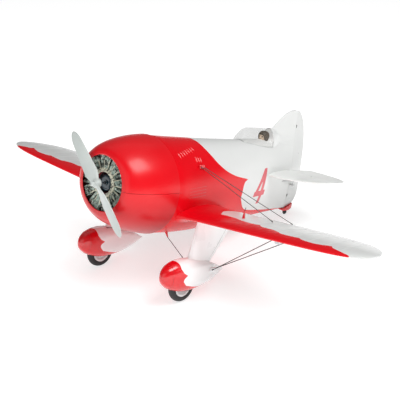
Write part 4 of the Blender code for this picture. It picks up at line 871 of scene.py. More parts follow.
def blade_section(hinge, aft, across, upper, lower, reach, steps=18):
    """Section of a control surface: rounded knuckle at the hinge and skins given by their half thickness."""
    half = max(upper(0.0), KNUCKLE_RADIUS)
    corner = max((half * math.sin(SURFACE_SWING) - KNUCKLE_RADIUS) / math.cos(SURFACE_SWING), 0.0)
    corner += KNUCKLE_RADIUS * 0.3
    knuckle = [math.radians(150 + 30 * k / 4) for k in range(4)]
    near, far = [], []
    for skin, sign, side in ((upper, 1, near), (lower, -1, far)):
        for s in spread(reach, corner, steps):
            side.append(hinge + aft * s + across * sign * skin(s))
        round_end = [(math.cos(t) * KNUCKLE_RADIUS, math.sin(t) * KNUCKLE_RADIUS) for t in knuckle]
        side += [hinge + aft * p + across * sign * q for p, q in round_end]
    return near + far[::-1]


def thinning(half, reach):
    """Half thickness of a blade from its hinge to its trailing edge."""
    half = max(half, KNUCKLE_RADIUS)
    edge = EDGE_THICKNESS / 2
    return lambda s: edge + (half - edge) * max(1 - max(s, 0.0) / reach, 0.0) ** 0.75


def hinge_notches(places, axis, aft, front=0.0):
    """Clear room in a control surface round the lugs of its hinge."""
    tool = Shape()
    half = HINGE_NOTCH / 2
    reach = KNUCKLE_RADIUS + SEAT_GAP
    across = axis.cross(aft)
    deep = reach * 4
    front = max(front, reach * 2)
    corners = ((-front, -deep), (reach, -deep), (reach, deep), (-front, deep))
    for place in places:
        tool.loft([[place + axis * s + aft * p + across * q for p, q in corners] for s in (-half, half)])
    return tool


def hinge_lugs(places, axis, aft, root=KNUCKLE_RADIUS + GAP + LUG_ROOT):
    """Lugs with rounded ends, reaching back from a fixed piece to the hinge axis."""
    across = axis.cross(aft)
    size = KNUCKLE_RADIUS
    turns = [math.radians(90 - 9 * k) for k in range(10)]
    upper = [(-root, size)] + [(size * math.cos(t), size * math.sin(t)) for t in turns]
    outline = upper + [(p, -q) for p, q in reversed(upper)]
    lugs = Shape()
    for place in places:
        ends = [place + axis * s for s in (-EYE_WIDTH / 2, EYE_WIDTH / 2)]
        lugs.loft([[end + aft * p + across * q for p, q in outline] for end in ends])
    return lugs


def horn(root, pivot, flat):
    """Arm with a round eye for a rod's end."""
    along = (pivot - root).normalized()
    across = flat.cross(along)
    rim = [root - across * HORN_ROOT_WIDTH / 2]
    for turn in [math.radians(t) for t in spread(-100, 100, 30)]:
        rim.append(pivot + (along * math.cos(turn) + across * math.sin(turn)) * (HORN_HOLE + HORN_RIM))
    rim.append(root + across * HORN_ROOT_WIDTH / 2)
    hole = [pivot + (p - pivot).normalized() * HORN_HOLE for p in rim]
    half = flat * HORN_THICKNESS / 2
    sides = ((rim, -1), (rim, 1), (hole, 1), (hole, -1))
    return Shape().closed_ring([[p + half * s for p in loop] for loop, s in sides])


def rudder_trail(height):
    """Distance from the hinge to the trailing edge."""
    above = clamp((height - RUDDER_WIDEST) / (FIN_TOP - RUDDER_WIDEST))
    below = clamp((RUDDER_BOTTOM + RUDDER_HEEL - height) / RUDDER_HEEL)
    reach = RUDDER_REACH * math.sqrt(1 - above**2.4)
    return reach - RUDDER_HEEL_CUT * (1 - math.sqrt(1 - below * below))


def rudder_heights():
    return [toward(RUDDER_BOTTOM, FIN_TOP, math.sin(math.pi / 2 * s)) for s in spread(0.0, 0.94, 80)]


def rudder_nose(height):
    """Radius of the rudder's round nose, which carries on the skin ahead of it."""
    post = 0.0
    if height > 0:
        post = fin_half_thickness(height) + fin_flare(1.0, max(height - TAIL_TOP, 0.0))
    return max(body_side(TAIL_POST, height), post, KNUCKLE_RADIUS)


def rudder_cove():
    """Hollow in the back of fin and body, in which the rudder's nose turns."""
    heights = rudder_heights()
    sizes = [rudder_nose(height) + COVE_GAP for height in heights]
    heights = [heights[0] - KNUCKLE_RADIUS] + heights + [FIN_TOP * 1.02]
    sizes = sizes[:1] + sizes + sizes[-1:]
    ring = [(math.cos(t), math.sin(t)) for t in circle_turns(48)]
    loops = []
    for height, size in zip(heights, sizes):
        loops.append([Vector((size * p, RUDDER_HINGE + size * q, height)) for p, q in ring])
    return Shape().loft(loops)


def rudder():
    loops = []
    for height in rudder_heights():
        nose, reach = rudder_nose(height), rudder_trail(height)
        skin = thinning(nose, reach)
        side = [(s, skin(s)) for s in spread(reach, 0.0, 20)]
        turns = [math.radians(90 + 10 * k) for k in range(1, 9)]
        side += [(nose * math.cos(t), nose * math.sin(t)) for t in turns]
        slope = RUDDER_HEEL_SLOPE * max(1 - (height - RUDDER_BOTTOM) / RUDDER_HEEL, 0.0)
        left = [Vector((half, RUDDER_HINGE + s, height + slope * max(s, 0.0))) for s, half in side]
        loops.append(mirrored(left))
    return Shape().loft(loops)


# Wing


def wing_share(x):
    return min(abs(x) / WING_HALF_SPAN, 1.0)


def tip_round(x):
    return 1 - math.sqrt(1 - wing_share(x) ** TIP_POWER)


# Where the wing meets the body, at the spar
WING_ROOT_X = body_side(SPAR_AFT, WING_HEIGHT)


def fillet(x):
    """1 at the body, fading outwards."""
    return math.exp(-max(abs(x) - WING_ROOT_X, 0.0) / FILLET_LENGTH)


def straight_trail(x):
    share = wing_share(x)
    return WING_LEAD + WING_CHORD - EDGE_CUT * share + EDGE_BOW * share * share


def wing_lead(x):
    return WING_LEAD + TIP_LEAD_SETBACK * tip_round(x) - FILLET_FORWARD * fillet(x)


def wing_trail(x):
    tip_gap = straight_trail(WING_HALF_SPAN) - (WING_LEAD + TIP_LEAD_SETBACK)
    return straight_trail(x) - tip_gap * tip_round(x)


def wing_middle(x, aft):
    return WING_HEIGHT + DIHEDRAL * abs(x) - INCIDENCE * (aft - WING_LEAD)


def wing_chordwise(x, aft):
    """Share of the chord at a place, with the chord."""
    lead = wing_lead(x)
    chord = wing_trail(x) - lead
    return clamp((aft - lead) / chord), chord


def wing_half_thickness(x, aft):
    c, chord = wing_chordwise(x, aft)
    form = 0.2969 * math.sqrt(c) - 0.126 * c - 0.3516 * c**2 + 0.2843 * c**3 - 0.1036 * c**4
    full = toward(WING_THICKNESS, WING_TIP_THICKNESS, wing_share(x))
    full *= (chord / (straight_trail(x) - WING_LEAD)) ** 0.7
    full *= 1 + FILLET_SWELL * fillet(x)
    return 5 * form * full + EDGE_THICKNESS / 2


def rib_ridge(x, aft):
    """Height of the covering over a rib."""
    c = wing_chordwise(x, aft)[0]
    if not RIBS_FROM < abs(x) <= RIBS_TO:
        return 0.0
    offset = (abs(x) + RIB_PITCH / 2) % RIB_PITCH - RIB_PITCH / 2
    fade = clamp((c - 0.06) / 0.12) * clamp((0.985 - c) / 0.05)
    return RIB_HEIGHT * fade * math.exp(-((offset / RIB_WIDTH) ** 2))


def wing_camber(x, aft):
    c, chord = wing_chordwise(x, aft)
    return WING_CAMBER * chord * 4 * c * (1 - c)


def wing_top(x, aft):
    return wing_middle(x, aft) + wing_camber(x, aft) + wing_half_thickness(x, aft)


def wing_under(x, aft):
    return wing_middle(x, aft) + wing_camber(x, aft) - wing_half_thickness(x, aft)


def wing_loop(x):
    lead, trail = wing_lead(x), wing_trail(x)
    shares = [max(0.5 + 0.5 * math.cos(math.pi * s), 0.0004) for s in spread(0.0, 1.0, CHORD_STEPS)]
    afts = [toward(lead, trail, c) for c in shares]
    over = [Vector((x, aft, wing_top(x, aft) + rib_ridge(x, aft))) for aft in afts]
    under = [Vector((x, aft, wing_under(x, aft) - rib_ridge(x, aft))) for aft in reversed(afts)]
    return over + under


def wing_stations():
    """Distances from the middle of the wing's sections, close together at the root, the ribs and the tip."""
    inner = [WING_ROOT_X + FILLET_LENGTH * s for s in spread(0.0, 3.2, 24)]
    outer = spread(inner[-1] + 0.001, WING_HALF_SPAN * TIP_START, 60)
    rib = RIB_PITCH * math.ceil(inner[-1] / RIB_PITCH)
    while rib < WING_HALF_SPAN * TIP_START:
        outer += [rib + RIB_WIDTH * s for s in RIB_STEPS]
        rib += RIB_PITCH
    tip = [WING_HALF_SPAN * toward(TIP_END, TIP_START, (1 - s) ** 3) for s in spread(0.0, 1.0, 30)]
    places = sorted(x for x in inner + outer + tip if x <= WING_HALF_SPAN * TIP_END)
    return [x for x, after in zip(places, places[1:] + [1.0]) if after - x > LEAST_STEP]


def wing():
    root = [Vector((body_side(p.y, p.z) - BODY_WALL * 0.7, p.y, p.z)) for p in wing_loop(WING_ROOT_X)]
    return Shape().loft([root] + [wing_loop(x) for x in wing_stations()])


def aileron_hinge(x):
    aft = straight_trail(WING_HALF_SPAN / 2) - AILERON_CHORD
    return Vector((x, aft, wing_middle(x, aft) + wing_camber(x, aft)))


def aileron_axis():
    return (aileron_hinge(AILERON_OUTER) - aileron_hinge(AILERON_INNER)).normalized()


def aileron_line(x):
    """Point of the straight hinge line."""
    axis = aileron_axis()
    start = aileron_hinge(AILERON_INNER)
    return start + axis * ((x - start.x) / axis.x)


def aileron():
    loops = []
    for x in spread(AILERON_INNER, AILERON_OUTER, 60):
        hinge = aileron_line(x)
        upper = lambda s: wing_top(x, hinge.y + s) - hinge.z
        lower = lambda s: hinge.z - wing_under(x, hinge.y + s)
        loops.append(blade_section(hinge, AFT, UP, upper, lower, wing_trail(x) - hinge.y))
    return Shape().loft(loops)


def aileron_bay():
    low = aileron_hinge(AILERON_INNER)
    front = low.y - KNUCKLE_RADIUS - GAP
    deep = WING_THICKNESS * 3
    inner, outer = AILERON_INNER - AILERON_END_GAP, AILERON_OUTER + AILERON_END_GAP
    return Shape().box((inner, front, low.z - deep), (outer, low.y + AILERON_CHORD * 3, low.z + deep))


def servo_pocket():
    """Room for the servo in the wing's underside."""
    wide, long, high = AILERON_SERVO_SIZE
    aft = aileron_hinge(AILERON_HORN_X).y - long * 1.3
    foot = wing_under(AILERON_HORN_X, aft)
    low = (AILERON_HORN_X - wide / 2 - GAP, aft - long / 2 - GAP, foot - high)
    return Shape().box(low, (AILERON_HORN_X + wide / 2 + GAP, aft + long / 2 + GAP, foot + high + GAP * 2))


# Tailplane


def tail_share(x):
    return min(abs(x) / TAIL_HALF_SPAN, 1.0)


def tail_lead(x):
    return TAIL_CENTRE - TAIL_LEAD_REACH * math.sqrt(1 - tail_share(x) ** 2)


def tail_trail(x):
    return TAIL_CENTRE + TAIL_TRAIL_REACH * (1 - tail_share(x) ** 4) ** 0.25


def tail_half_thickness(x):
    return toward(TAIL_THICKNESS, TAIL_TIP_THICKNESS, tail_share(x)) / 2


TAIL_SIDE = eased(((0.0, 0.12), (0.02, 0.36), (0.08, 0.66), (0.28, 1.0), (0.55, 0.95), (1.0, 0.72)))[0]


def tailplane():
    """One piece from tip to tip."""
    wall = ELEVATOR_HINGE - KNUCKLE_RADIUS - GAP
    loops = []
    for turn in spread(-0.985, 0.985, 110):
        x = TAIL_HALF_SPAN * 0.9995 * math.sin(math.pi / 2 * turn)
        lead, full = tail_lead(x), tail_half_thickness(x)
        shares = [s**1.6 for s in spread(1.0, 0.0, 24)]
        side = [(toward(lead, wall, c), full * TAIL_SIDE(c)) for c in shares]
        over = [Vector((x, aft, TAIL_HEIGHT + half)) for aft, half in side]
        loops.append(over + [Vector((x, aft, TAIL_HEIGHT - half)) for aft, half in reversed(side)])
    return Shape().loft(loops)


def elevator():
    loops = []
    tip = TAIL_HALF_SPAN * 0.996
    for share in [math.sin(math.pi / 2 * s) for s in spread(0.0, 1.0, 60)]:
        x = ELEVATOR_ROOT + (tip - ELEVATOR_ROOT) * share
        reach = tail_trail(x) - ELEVATOR_HINGE
        skin = thinning(tail_half_thickness(x) * 0.72, reach)
        loop = blade_section(Vector((x, ELEVATOR_HINGE, TAIL_HEIGHT)), AFT, UP, skin, skin, reach)
        lean = ELEVATOR_ROOT_FLARE * max(1 - share / 0.25, 0.0)
        for place in loop:
            place.x += lean * max(place.y - ELEVATOR_HINGE, 0.0) / reach
        loops.append(loop)
    return Shape().loft(loops)


# Landing gear


def pant_section(aft):
    """Middle height, half height and half width of a wheel pant."""
    share = clamp((aft - PANT_NOSE) / PANT_LENGTH)
    if share < PANT_FULLEST:
        swell = math.sqrt(1 - (1 - share / PANT_FULLEST) ** 2)
    else:
        swell = 1 - ((share - PANT_FULLEST) / (1 - PANT_FULLEST)) ** 1.9
    swell = max(swell, 0.03)
    middle = PANT_HEIGHT - PANT_DROOP * (share - PANT_FULLEST)
    return middle, PANT_HALF_HEIGHT * swell, PANT_HALF_WIDTH * swell


def pant_reach(share):
    """How far a pant's section reaches one way, at a share of its half size the other way."""
    return (1 - min(abs(share), 1.0) ** PANT_SQUARENESS) ** (1 / PANT_SQUARENESS)


def pant_side(aft, height):
    middle, half, width = pant_section(aft)
    return width * pant_reach((height - middle) / half)


def pant_roof(aft, x):
    middle, half, width = pant_section(aft)
    return middle + half * pant_reach(x / width)


def pant():
    loops = []
    for s in spread(0.0, 1.0, 100):
        aft = PANT_NOSE + PANT_LENGTH * (0.5 - 0.5 * math.cos(math.pi * s))
        middle, half, width = pant_section(aft)
        ring = squircle_ring(80, PANT_SQUARENESS)
        loops.append([Vector((WHEEL_X + width * p, aft, middle + half * q)) for p, q in ring])
    return Shape().loft(loops)


def wheel_well(centre, radius, width, gap, depth):
    """Slot with a round roof over a wheel."""
    half, reach = width / 2 + gap, radius + gap
    arc = [(math.cos(t) * reach, math.sin(t) * reach) for t in spread(math.pi, 0.0, 30)]
    outline = [(-reach, -depth)] + arc + [(reach, -depth), (0.0, -depth)]
    ends = (centre.x - half, centre.x + half)
    return Shape().loft([[Vector((x, centre.y + p, centre.z + q)) for p, q in outline] for x in ends])


LEG_FORM = ((0.0, 0.10), (0.03, 0.42), (0.12, 0.78), (0.3, 1.0), (0.55, 0.86), (0.8, 0.46), (1.0, 0.12))
LEG_SIDE = eased(LEG_FORM)[0]


def leg_place(across, c, share, bury=0.0):
    """Point of a leg's side, at a share of its chord and of the way down from the wing to the pant."""
    chord = toward(LEG_TOP_CHORD, LEG_FOOT_CHORD, share)
    aft = toward(LEG_TOP_LEAD, LEG_FOOT_LEAD, share) + chord * c
    high, low = wing_under(WHEEL_X + across, aft) + bury, pant_roof(aft, across) - bury
    return Vector((WHEEL_X + across, aft, toward(high, low, share)))


def gear_leg():
    """Streamlined leg from the wing's underside down to the pant, spreading softly at both ends."""
    loops = []
    for share in spread(0.0, 1.0, 48):
        swell = 1 + 0.22 * math.exp(-share / 0.07) + 0.16 * math.exp(-(1 - share) / 0.07)
        side = [(LEG_SIDE(c) * LEG_THICKNESS / 2 * swell, c) for c in [s**1.4 for s in spread(1.0, 0.0, 27)]]
        outline = side + [(-across, c) for across, c in reversed(side)]
        loops.append([leg_place(across, c, share, GAP) for across, c in outline])
    return Shape().loft(loops)


def leg_line():
    """Seam of the leg's trailing strip, on its outer side."""
    across = LEG_SIDE(LEG_STRIP) * LEG_THICKNESS / 2
    path = [leg_place(across, LEG_STRIP, share) for share in spread(0.03, 0.97, 24)]
    return strip(path, lambda place: LEFT, CREASE_WIDTH, 0.00015)


def pant_line():
    """Seam of the pant's nose cap."""
    middle, half, width = pant_section(PANT_SEAM)
    ring = [squircle(t, PANT_SQUARENESS) for t in spread(-math.pi / 2, math.pi * 1.5, 80)]
    path = [Vector((WHEEL_X + width * p, PANT_SEAM, middle + half * q)) for p, q in ring]
    centre = Vector((WHEEL_X, PANT_SEAM, middle))
    return strip(path, lambda place: (place - centre).normalized(), CREASE_WIDTH, 0.00010)


def tyre(centre, radius, width, bore):
    """Tyre with a round tread and flat walls."""
    half = width / 2
    tread = [(half * math.sin(t), radius - half * 0.75 * (1 - math.cos(t))) for t in spread(-1.35, 1.35, 22)]
    profile = [(-half * 0.8, bore)] + tread + [(half * 0.8, bore)]
    return Shape().turned(profile, ROUND_SIDES, centre, LEFT, ring=True)


def hub(centre):
    """Dished wheel centre with a raised rim and a boss round the axle."""
    half, rim, bore = HUB_WIDTH / 2, HUB_RADIUS - GAP, AXLE_RADIUS + PIN_GAP
    face = [(0.96, 0.24), (0.98, 0.27), (0.62, 0.33), (0.50, 0.42), (0.55, 0.62), (0.78, 0.76), (0.95, 0.81)]
    face += [(1.0, 0.86), (1.0, 0.95), (0.93, 1.0)]
    profile = [(-half, bore)] + [(-half * p, rim * r) for p, r in face]
    profile += [(half * p, rim * r) for p, r in reversed(face)] + [(half, bore)]
    return Shape().turned(profile, ROUND_SIDES, centre, LEFT, ring=True)


FAIRING = ((0.0, 0.10, 0.2), (0.18, 0.55, 0.75), (0.42, 0.95, 1.0), (0.75, 1.0, 0.9), (1.0, 0.6, 0.45))
FAIRING_DEPTH = eased([(p, q) for p, q, r in FAIRING])[0]
FAIRING_WIDTH = eased([(p, r) for p, q, r in FAIRING])[0]


def tail_fairing():
    """Boat-shaped skid under the rudder, which holds the tail wheel."""
    loops = []
    for share in spread(0.0, 1.0, 44):
        aft = TAIL_FAIRING_FRONT + TAIL_FAIRING_LENGTH * share
        half = TAIL_FAIRING_HALF_WIDTH * FAIRING_WIDTH(share)
        deep = TAIL_FAIRING_DEPTH * FAIRING_DEPTH(share)
        root = min(body_floor(min(aft, TAIL_POST), 0.0), RUDDER_BOTTOM) - GAP
        top = root + RUDDER_HEEL_SLOPE * max(aft - RUDDER_HINGE, 0.0)
        ring = [squircle(math.pi * k / 23, 2.6) for k in range(24)]
        loops.append([Vector((half * p, aft, top - (top - root + deep) * q)) for p, q in ring])
    return Shape().loft(loops)


# Engine, motor and propeller


def engine_plate():
    """Disc across the cowl's mouth with a round hole for the motor."""
    front, back = ENGINE_AFT, ENGINE_AFT + ENGINE_PLATE
    turns = circle_turns(ROUND_SIDES)
    loops = [[body_point(aft, t, COWL_WALL + GAP) for t in turns] for aft in (front, back)]
    for aft in (back, front):
        loops.append([Vector((ENGINE_HOLE * math.cos(t), aft, ENGINE_HOLE * math.sin(t))) for t in turns])
    return Shape().closed_ring(loops)


def crankcase():
    """Domed ring round the motor hole, in the middle of the cylinders."""
    inner, outer = CRANKCASE_HOLE, CRANKCASE_RADIUS
    profile = [(0.0, inner), (-0.0036, inner), (-0.0039, inner + 0.0003), (-0.0036, outer - 0.0008)]
    profile += [(-0.0030, outer - 0.0002), (-0.0022, outer), (0.0, outer)]
    return Shape().turned(profile, ROUND_SIDES, (0, ENGINE_AFT, 0), AFT, ring=True)


def motor_well():
    """Sleeve behind the crankcase's hole, round the motor."""
    inner, outer = CRANKCASE_HOLE - GAP, CRANKCASE_HOLE
    profile = [(-0.0030, outer), (0.0100, outer), (0.0100, BELL_RADIUS + GAP), (0.0096, BELL_RADIUS + GAP)]
    profile += [(0.0096, inner), (-0.0030, inner)]
    return Shape().turned(profile, ROUND_SIDES, (0, ENGINE_AFT, 0), AFT, ring=True)


def cylinder_turns(offset=0.0):
    """Angle of each cylinder, the first one upright, turned on by an offset."""
    return [math.pi / 2 + offset + turn for turn in circle_turns(CYLINDERS)]


def engine_spokes(span, offset=0.0):
    """Straight paths out from the thrust line, one for each cylinder."""
    outs = [Vector((math.cos(t), 0, math.sin(t))) for t in cylinder_turns(offset)]
    return [[AFT * ENGINE_AFT + out * r for r in span] for out in outs]


def stud_circle():
    """Path round the crankcase's front edge."""
    radius, aft = CRANKCASE_RADIUS + 0.0002, ENGINE_AFT - 0.0026
    return [Vector((radius * math.cos(t), aft, radius * math.sin(t))) for t in spread(0.0, 2 * math.pi, 72)]


def head_plate():
    """One cooling fin of a cylinder head, its long side out along the spoke."""
    half, deep, wide = HEAD_LENGTH / 2, HEAD_DEPTH, HEAD_FIN_WIDTH / 2
    outline = [(-half, -0.001), (-half, deep * 0.5), (-half * 0.7, deep * 0.9)]
    outline += [(half * 0.6, deep), (half, deep * 0.6), (half, -0.001)]
    return Shape().loft([[Vector((x, y, z)) for y, z in outline] for x in (-wide, wide)])


def head_rows():
    """Short paths across each cylinder head, one step for each of its fins."""
    rows = []
    for turn in cylinder_turns():
        along = Vector((math.cos(turn), 0, math.sin(turn)))
        across = Vector((-math.sin(turn), 0, math.cos(turn)))
        middle = along * HEAD_RADIUS + AFT * ENGINE_AFT
        rows.append([middle - across * HEAD_HALF_WIDTH, middle + across * HEAD_HALF_WIDTH])
    return rows


def forward(place):
    """The way that the engine's small parts stand up, the same at every place."""
    return -AFT


def barrel_fin():
    """One round cooling fin of a cylinder barrel."""
    half = 0.00035
    disc = [(-half, 0.0012), (-half, BARREL_RADIUS), (half, BARREL_RADIUS), (half, 0.0012)]
    return Shape().turned(disc, 16, (0, 0, 0), LEFT)


def push_tube():
    """One length of the rod tube in front of a cylinder."""
    return Shape().tube([(-0.0011, 0, 0.0019), (0.0011, 0, 0.0019)], PUSH_TUBE_RADIUS, 8)


def intake_pipe():
    """One length of the pipe between two cylinders."""
    return Shape().tube([(-0.0016, 0, 0.0004), (0.0016, 0, 0.0004)], PIPE_RADIUS, 10)


def stud():
    return Shape().turned([(-0.0002, 0.00075), (0.0007, 0.00075), (0.0009, 0.0005)], 6, (0, 0, 0), UP)


def motor_can():
    """Turned can with a stepped face, vents and a ribbed edge."""
    bore, groove = SHAFT_RADIUS + GAP, BELL_RADIUS - 0.0003
    steps = [(0.0006, bore), (-0.0006, 0.0017), (-0.0006, 0.0026), (0.0004, 0.0030), (0.0004, 0.0058)]
    steps += [(-0.0002, 0.0062), (0.0, 0.0074), (0.0008, 0.0083), (0.0020, BELL_RADIUS)]
    steps += [(0.0052, BELL_RADIUS), (0.0055, groove), (0.0061, groove), (0.0064, BELL_RADIUS)]
    steps += [(BELL_LENGTH, BELL_RADIUS), (BELL_LENGTH, 0.0074), (0.0016, 0.0074), (0.0016, bore)]
    profile = [(BELL_FRONT + along, radius) for along, radius in steps]
    return Shape().turned(profile, 72, (0, 0, 0), AFT, ring=True)


def prop_section(direction, share):
    """Loop round a blade at a share of its length."""
    swell = 0.42 + 0.58 * math.sin(math.pi / 2 * min(share / PROP_SHOULDER, 1.0)) - 0.24 * share**2
    past = max(share - 1 + PROP_TIP_ROUND, 0.0) / PROP_TIP_ROUND
    round_end = math.sqrt(max(1 - past * past, 0.006))
    thick = (0.0030 * (1 - share) + 0.0009) * min(round_end * 1.6, 1.0)
    pitch = math.atan2(PROP_PITCH, max(share, 0.16))
    lean = AFT.cross(direction) * math.cos(pitch) + AFT * math.sin(pitch)
    face = lean.cross(direction)
    middle = AFT * PROP_AFT + direction * PROP_RADIUS * share
    near, far = [], []
    for turn in spread(0.0, math.pi, 18):
        place = middle + lean * PROP_CHORD * swell * round_end * 0.5 * math.cos(turn)
        deep = 0.5 * math.sin(turn) ** 0.7
        near.append(place + face * thick * (deep + 0.04))
        far.append(place - face * thick * (deep * 0.8 + 0.04))
    return near + far[::-1]


def prop_blades():
    """Two twisted blades, at the angle that they rest at."""
    along = Vector((-math.sin(PROP_REST_ANGLE), 0, math.cos(PROP_REST_ANGLE)))
    shares = [0.03 + 0.968 * math.sin(math.pi / 2 * s) for s in spread(0.0, 1.0, 60)]
    blades = Shape()
    for direction in (along, -along):
        blades.loft([prop_section(direction, share) for share in shares])
    return blades


def prop_hub():
    half, size = PROP_HUB_LENGTH / 2, PROP_HUB_RADIUS
    profile = [(-half, SHAFT_RADIUS + GAP), (-half, size * 0.62), (-half + 0.0003, size * 0.68)]
    profile += [(-half + 0.0009, size * 0.72), (-half + 0.0014, size * 0.90), (-half + 0.0022, size)]
    profile += [(half - 0.0006, size), (half, size - 0.0006), (half, SHAFT_RADIUS + GAP)]
    return Shape().turned(profile, 64, (0, PROP_AFT, 0), AFT, ring=True)


def prop_nut():
    """Six-sided nut under a domed cap."""
    back = PROP_AFT - PROP_HUB_LENGTH / 2 - GAP
    front = back - PROP_NUT_LENGTH
    depth = front + PROP_NUT_LENGTH * 0.45
    size, bore = PROP_NUT_RADIUS, SHAFT_RADIUS + GAP
    dome = [(depth + (front - depth) * math.sin(t), size * 0.86 * math.cos(t)) for t in spread(0.0, 1.15, 8)]
    cap = [(depth + 0.0004, bore), (depth + 0.0004, size * 0.86)] + dome + [(front, bore)]
    nut = [(depth, bore), (depth, size * 0.94), (depth + 0.0003, size), (back, size), (back, bore)]
    whole = Shape()
    for profile, sides in ((cap, 48), (nut, 6)):
        whole.turned(profile, sides, (0, 0, 0), AFT, ring=True)
    return whole


# Cabin


def canopy_height(share):
    """Height of the canopy's crown over the body, 0 to 1, along its length."""
    if share < CANOPY_PEAK:
        return math.sin(math.pi / 2 * share / CANOPY_PEAK) ** CANOPY_BROW
    return math.cos(math.pi / 2 * (share - CANOPY_PEAK) / (1 - CANOPY_PEAK) * CANOPY_FALL)


def canopy_share(aft):
    return (aft - CANOPY_FRONT) / CANOPY_LENGTH


def canopy_loop(share, inset=HOOD_WALL):
    """Arch across the hood, on its inner skin unless another depth is given."""
    aft = CANOPY_FRONT + CANOPY_LENGTH * share
    ending = clamp((aft - WINDOW_END) / HOOD_TAIL)
    width = CANOPY_HALF_WIDTH * (0.45 + 0.55 * math.sin(math.pi * min(0.12 + share * 0.76, 1.0)) ** 0.8)
    width *= 1 - 0.62 * ending**1.5
    lift = max(canopy_height(min(share, 1.0)), 0.04) * (CANOPY_TOP - body_roof(CANOPY_FRONT, 0.0))
    lift *= 1 - 0.80 * ending**2
    loop = []
    for turn in spread(0.0, math.pi, 40):
        x = (width - inset) * math.cos(turn)
        base = body_roof(aft, x) - GAP
        loop.append(Vector((x, aft, base + max(lift - inset, 0.0002) * math.sin(turn) ** 0.8)))
    return loop


def canopy():
    """Clear hood, open underneath, standing on the body's skin."""
    end = canopy_share(WINDOW_END + HOOD_TAIL)
    shares = [end * s**1.5 for s in spread(0.0, 1.0, 72)]
    return Shape().loft([canopy_loop(s, 0.0) + canopy_loop(s)[::-1] for s in shares])


def hood_bulkhead():
    """White wall across the hood behind the pilot's head."""
    loops = []
    for aft in (BULKHEAD_FRONT, BULKHEAD_BACK):
        crown = canopy_loop(canopy_share(aft))
        loops.append(crown + [Vector((p.x * 0.96, p.y, p.z - BULKHEAD_ROOT)) for p in (crown[-1], crown[0])])
    return Shape().loft(loops)


def cockpit_deck():
    """White deck under the hood, round the pilot."""
    loops = []
    for aft in spread(DECK_FRONT, DECK_BACK, 40):
        half = canopy_loop(canopy_share(aft))[0].x - GAP
        loop = [Vector((x, aft, body_roof(aft, x) + DECK_LIFT)) for x in spread(-half, half, 12)]
        loops.append(loop + [p - UP * DECK_THICKNESS for p in reversed(loop)])
    return Shape().loft(loops)


def window_clear(place):
    """Positive where the hood is clear: ahead of a rounded edge behind the pilot's head."""
    above = clamp((place.z - PILOT_HEAD_HEIGHT) / PILOT_HEAD_RADIUS, -1.0, 1.0)
    return WINDOW_END - WINDOW_BOW * above * above - place.y


def head_skin(grow, low, high, front=None):
    """Round head form between two heights, in shares of its radius, grown for what it wears."""
    size = PILOT_HEAD_RADIUS
    loops = []
    for share in spread(low, high, 40):
        ring = math.sqrt(max(1 - min(abs(share), 0.999) ** 2.4, 0.004))
        width = size * (0.90 * ring * (1 - 0.16 * max(-share, 0.0)) + grow)
        depth = size * (1.04 * ring * (1 - 0.06 * max(-share, 0.0)) + grow)
        loop = []
        for turn in circle_turns(64, 0.5):
            x, y = width * math.cos(turn), depth * math.sin(turn)
            if front:
                y -= size * front(x / size, share) * max(-math.sin(turn), 0.0) ** 0.5
            loop.append(Vector((x, PILOT_AFT + y, PILOT_HEAD_HEIGHT + share * size * (1 + grow))))
        loops.append(loop)
    return Shape().loft(loops)


# Features of the face, in head radii: place across, height, how far forward, width and height.
FACE = (
    (0.0, -0.02, 0.16, 0.10, 0.26), (0.0, -0.26, 0.20, 0.12, 0.11), (0.0, 0.24, 0.05, 0.46, 0.10),
    (-0.34, 0.04, -0.10, 0.16, 0.11), (0.34, 0.04, -0.10, 0.16, 0.11), (0.0, -0.52, 0.06, 0.24, 0.06),
    (0.0, -0.62, 0.06, 0.20, 0.05), (0.0, -0.82, 0.10, 0.26, 0.14), (-0.42, -0.26, 0.05, 0.20, 0.18),
    (0.42, -0.26, 0.05, 0.20, 0.18),
)


def calm_face(x, height):
    """How far the face stands forward: brow, nose, lips, chin and cheeks on plain proportions."""
    out = 0.0
    for across, level, amount, wide, tall in FACE:
        out += amount * math.exp(-(((x - across) / wide) ** 2) - ((height - level) / tall) ** 2)
    return out


def face_window():
    """Room in the helmet for the face."""
    size = PILOT_HEAD_RADIUS
    middle = Vector((0, PILOT_AFT, PILOT_HEAD_HEIGHT))
    loops = []
    for y in (-2.0, -0.30):
        ring = [(0.72 * p, y, q * 0.85 - 0.42) for p, q in squircle_ring(40, 2.6)]
        loops.append([middle + Vector(place) * size for place in ring])
    return Shape().loft(loops)


def eyes():
    """Two plain dark eyes."""
    pair = Shape()
    size = PILOT_HEAD_RADIUS
    for side in (-1, 1):
        centre = Vector((0.32 * size * side, PILOT_AFT - 0.90 * size, PILOT_HEAD_HEIGHT + 0.05 * size))
        turns = spread(-1.4, 1.4, 8)
        pair.turned([(0.09 * size * math.sin(t), 0.12 * size * math.cos(t)) for t in turns], 16, centre, AFT)
    return pair


def shoulders():
    """Chest and shoulders in a padded jacket."""
    head = PILOT_HEAD_RADIUS
    neck = PILOT_HEAD_HEIGHT - head * 1.02
    base = COCKPIT_FLOOR + GAP
    level = eased(((0.0, 0.92), (0.45, 1.0), (0.72, 1.04), (0.86, 0.86), (0.94, 0.56), (1.0, 0.40)))[0]
    depth = eased(((0.0, 0.60), (0.45, 0.66), (0.72, 0.60), (0.86, 0.52), (0.94, 0.46), (1.0, 0.40)))[0]
    loops = []
    for share in spread(0.0, 1.0, 40):
        size = head * (1 + 0.02 * math.sin(share * 38))
        wide, deep = size * level(share), size * depth(share)
        height = toward(base, neck, share)
        loops.append([Vector((wide * p, PILOT_AFT + deep * q, height)) for p, q in squircle_ring(56, 2.3)])
    return Shape().loft(loops)


# Bracing


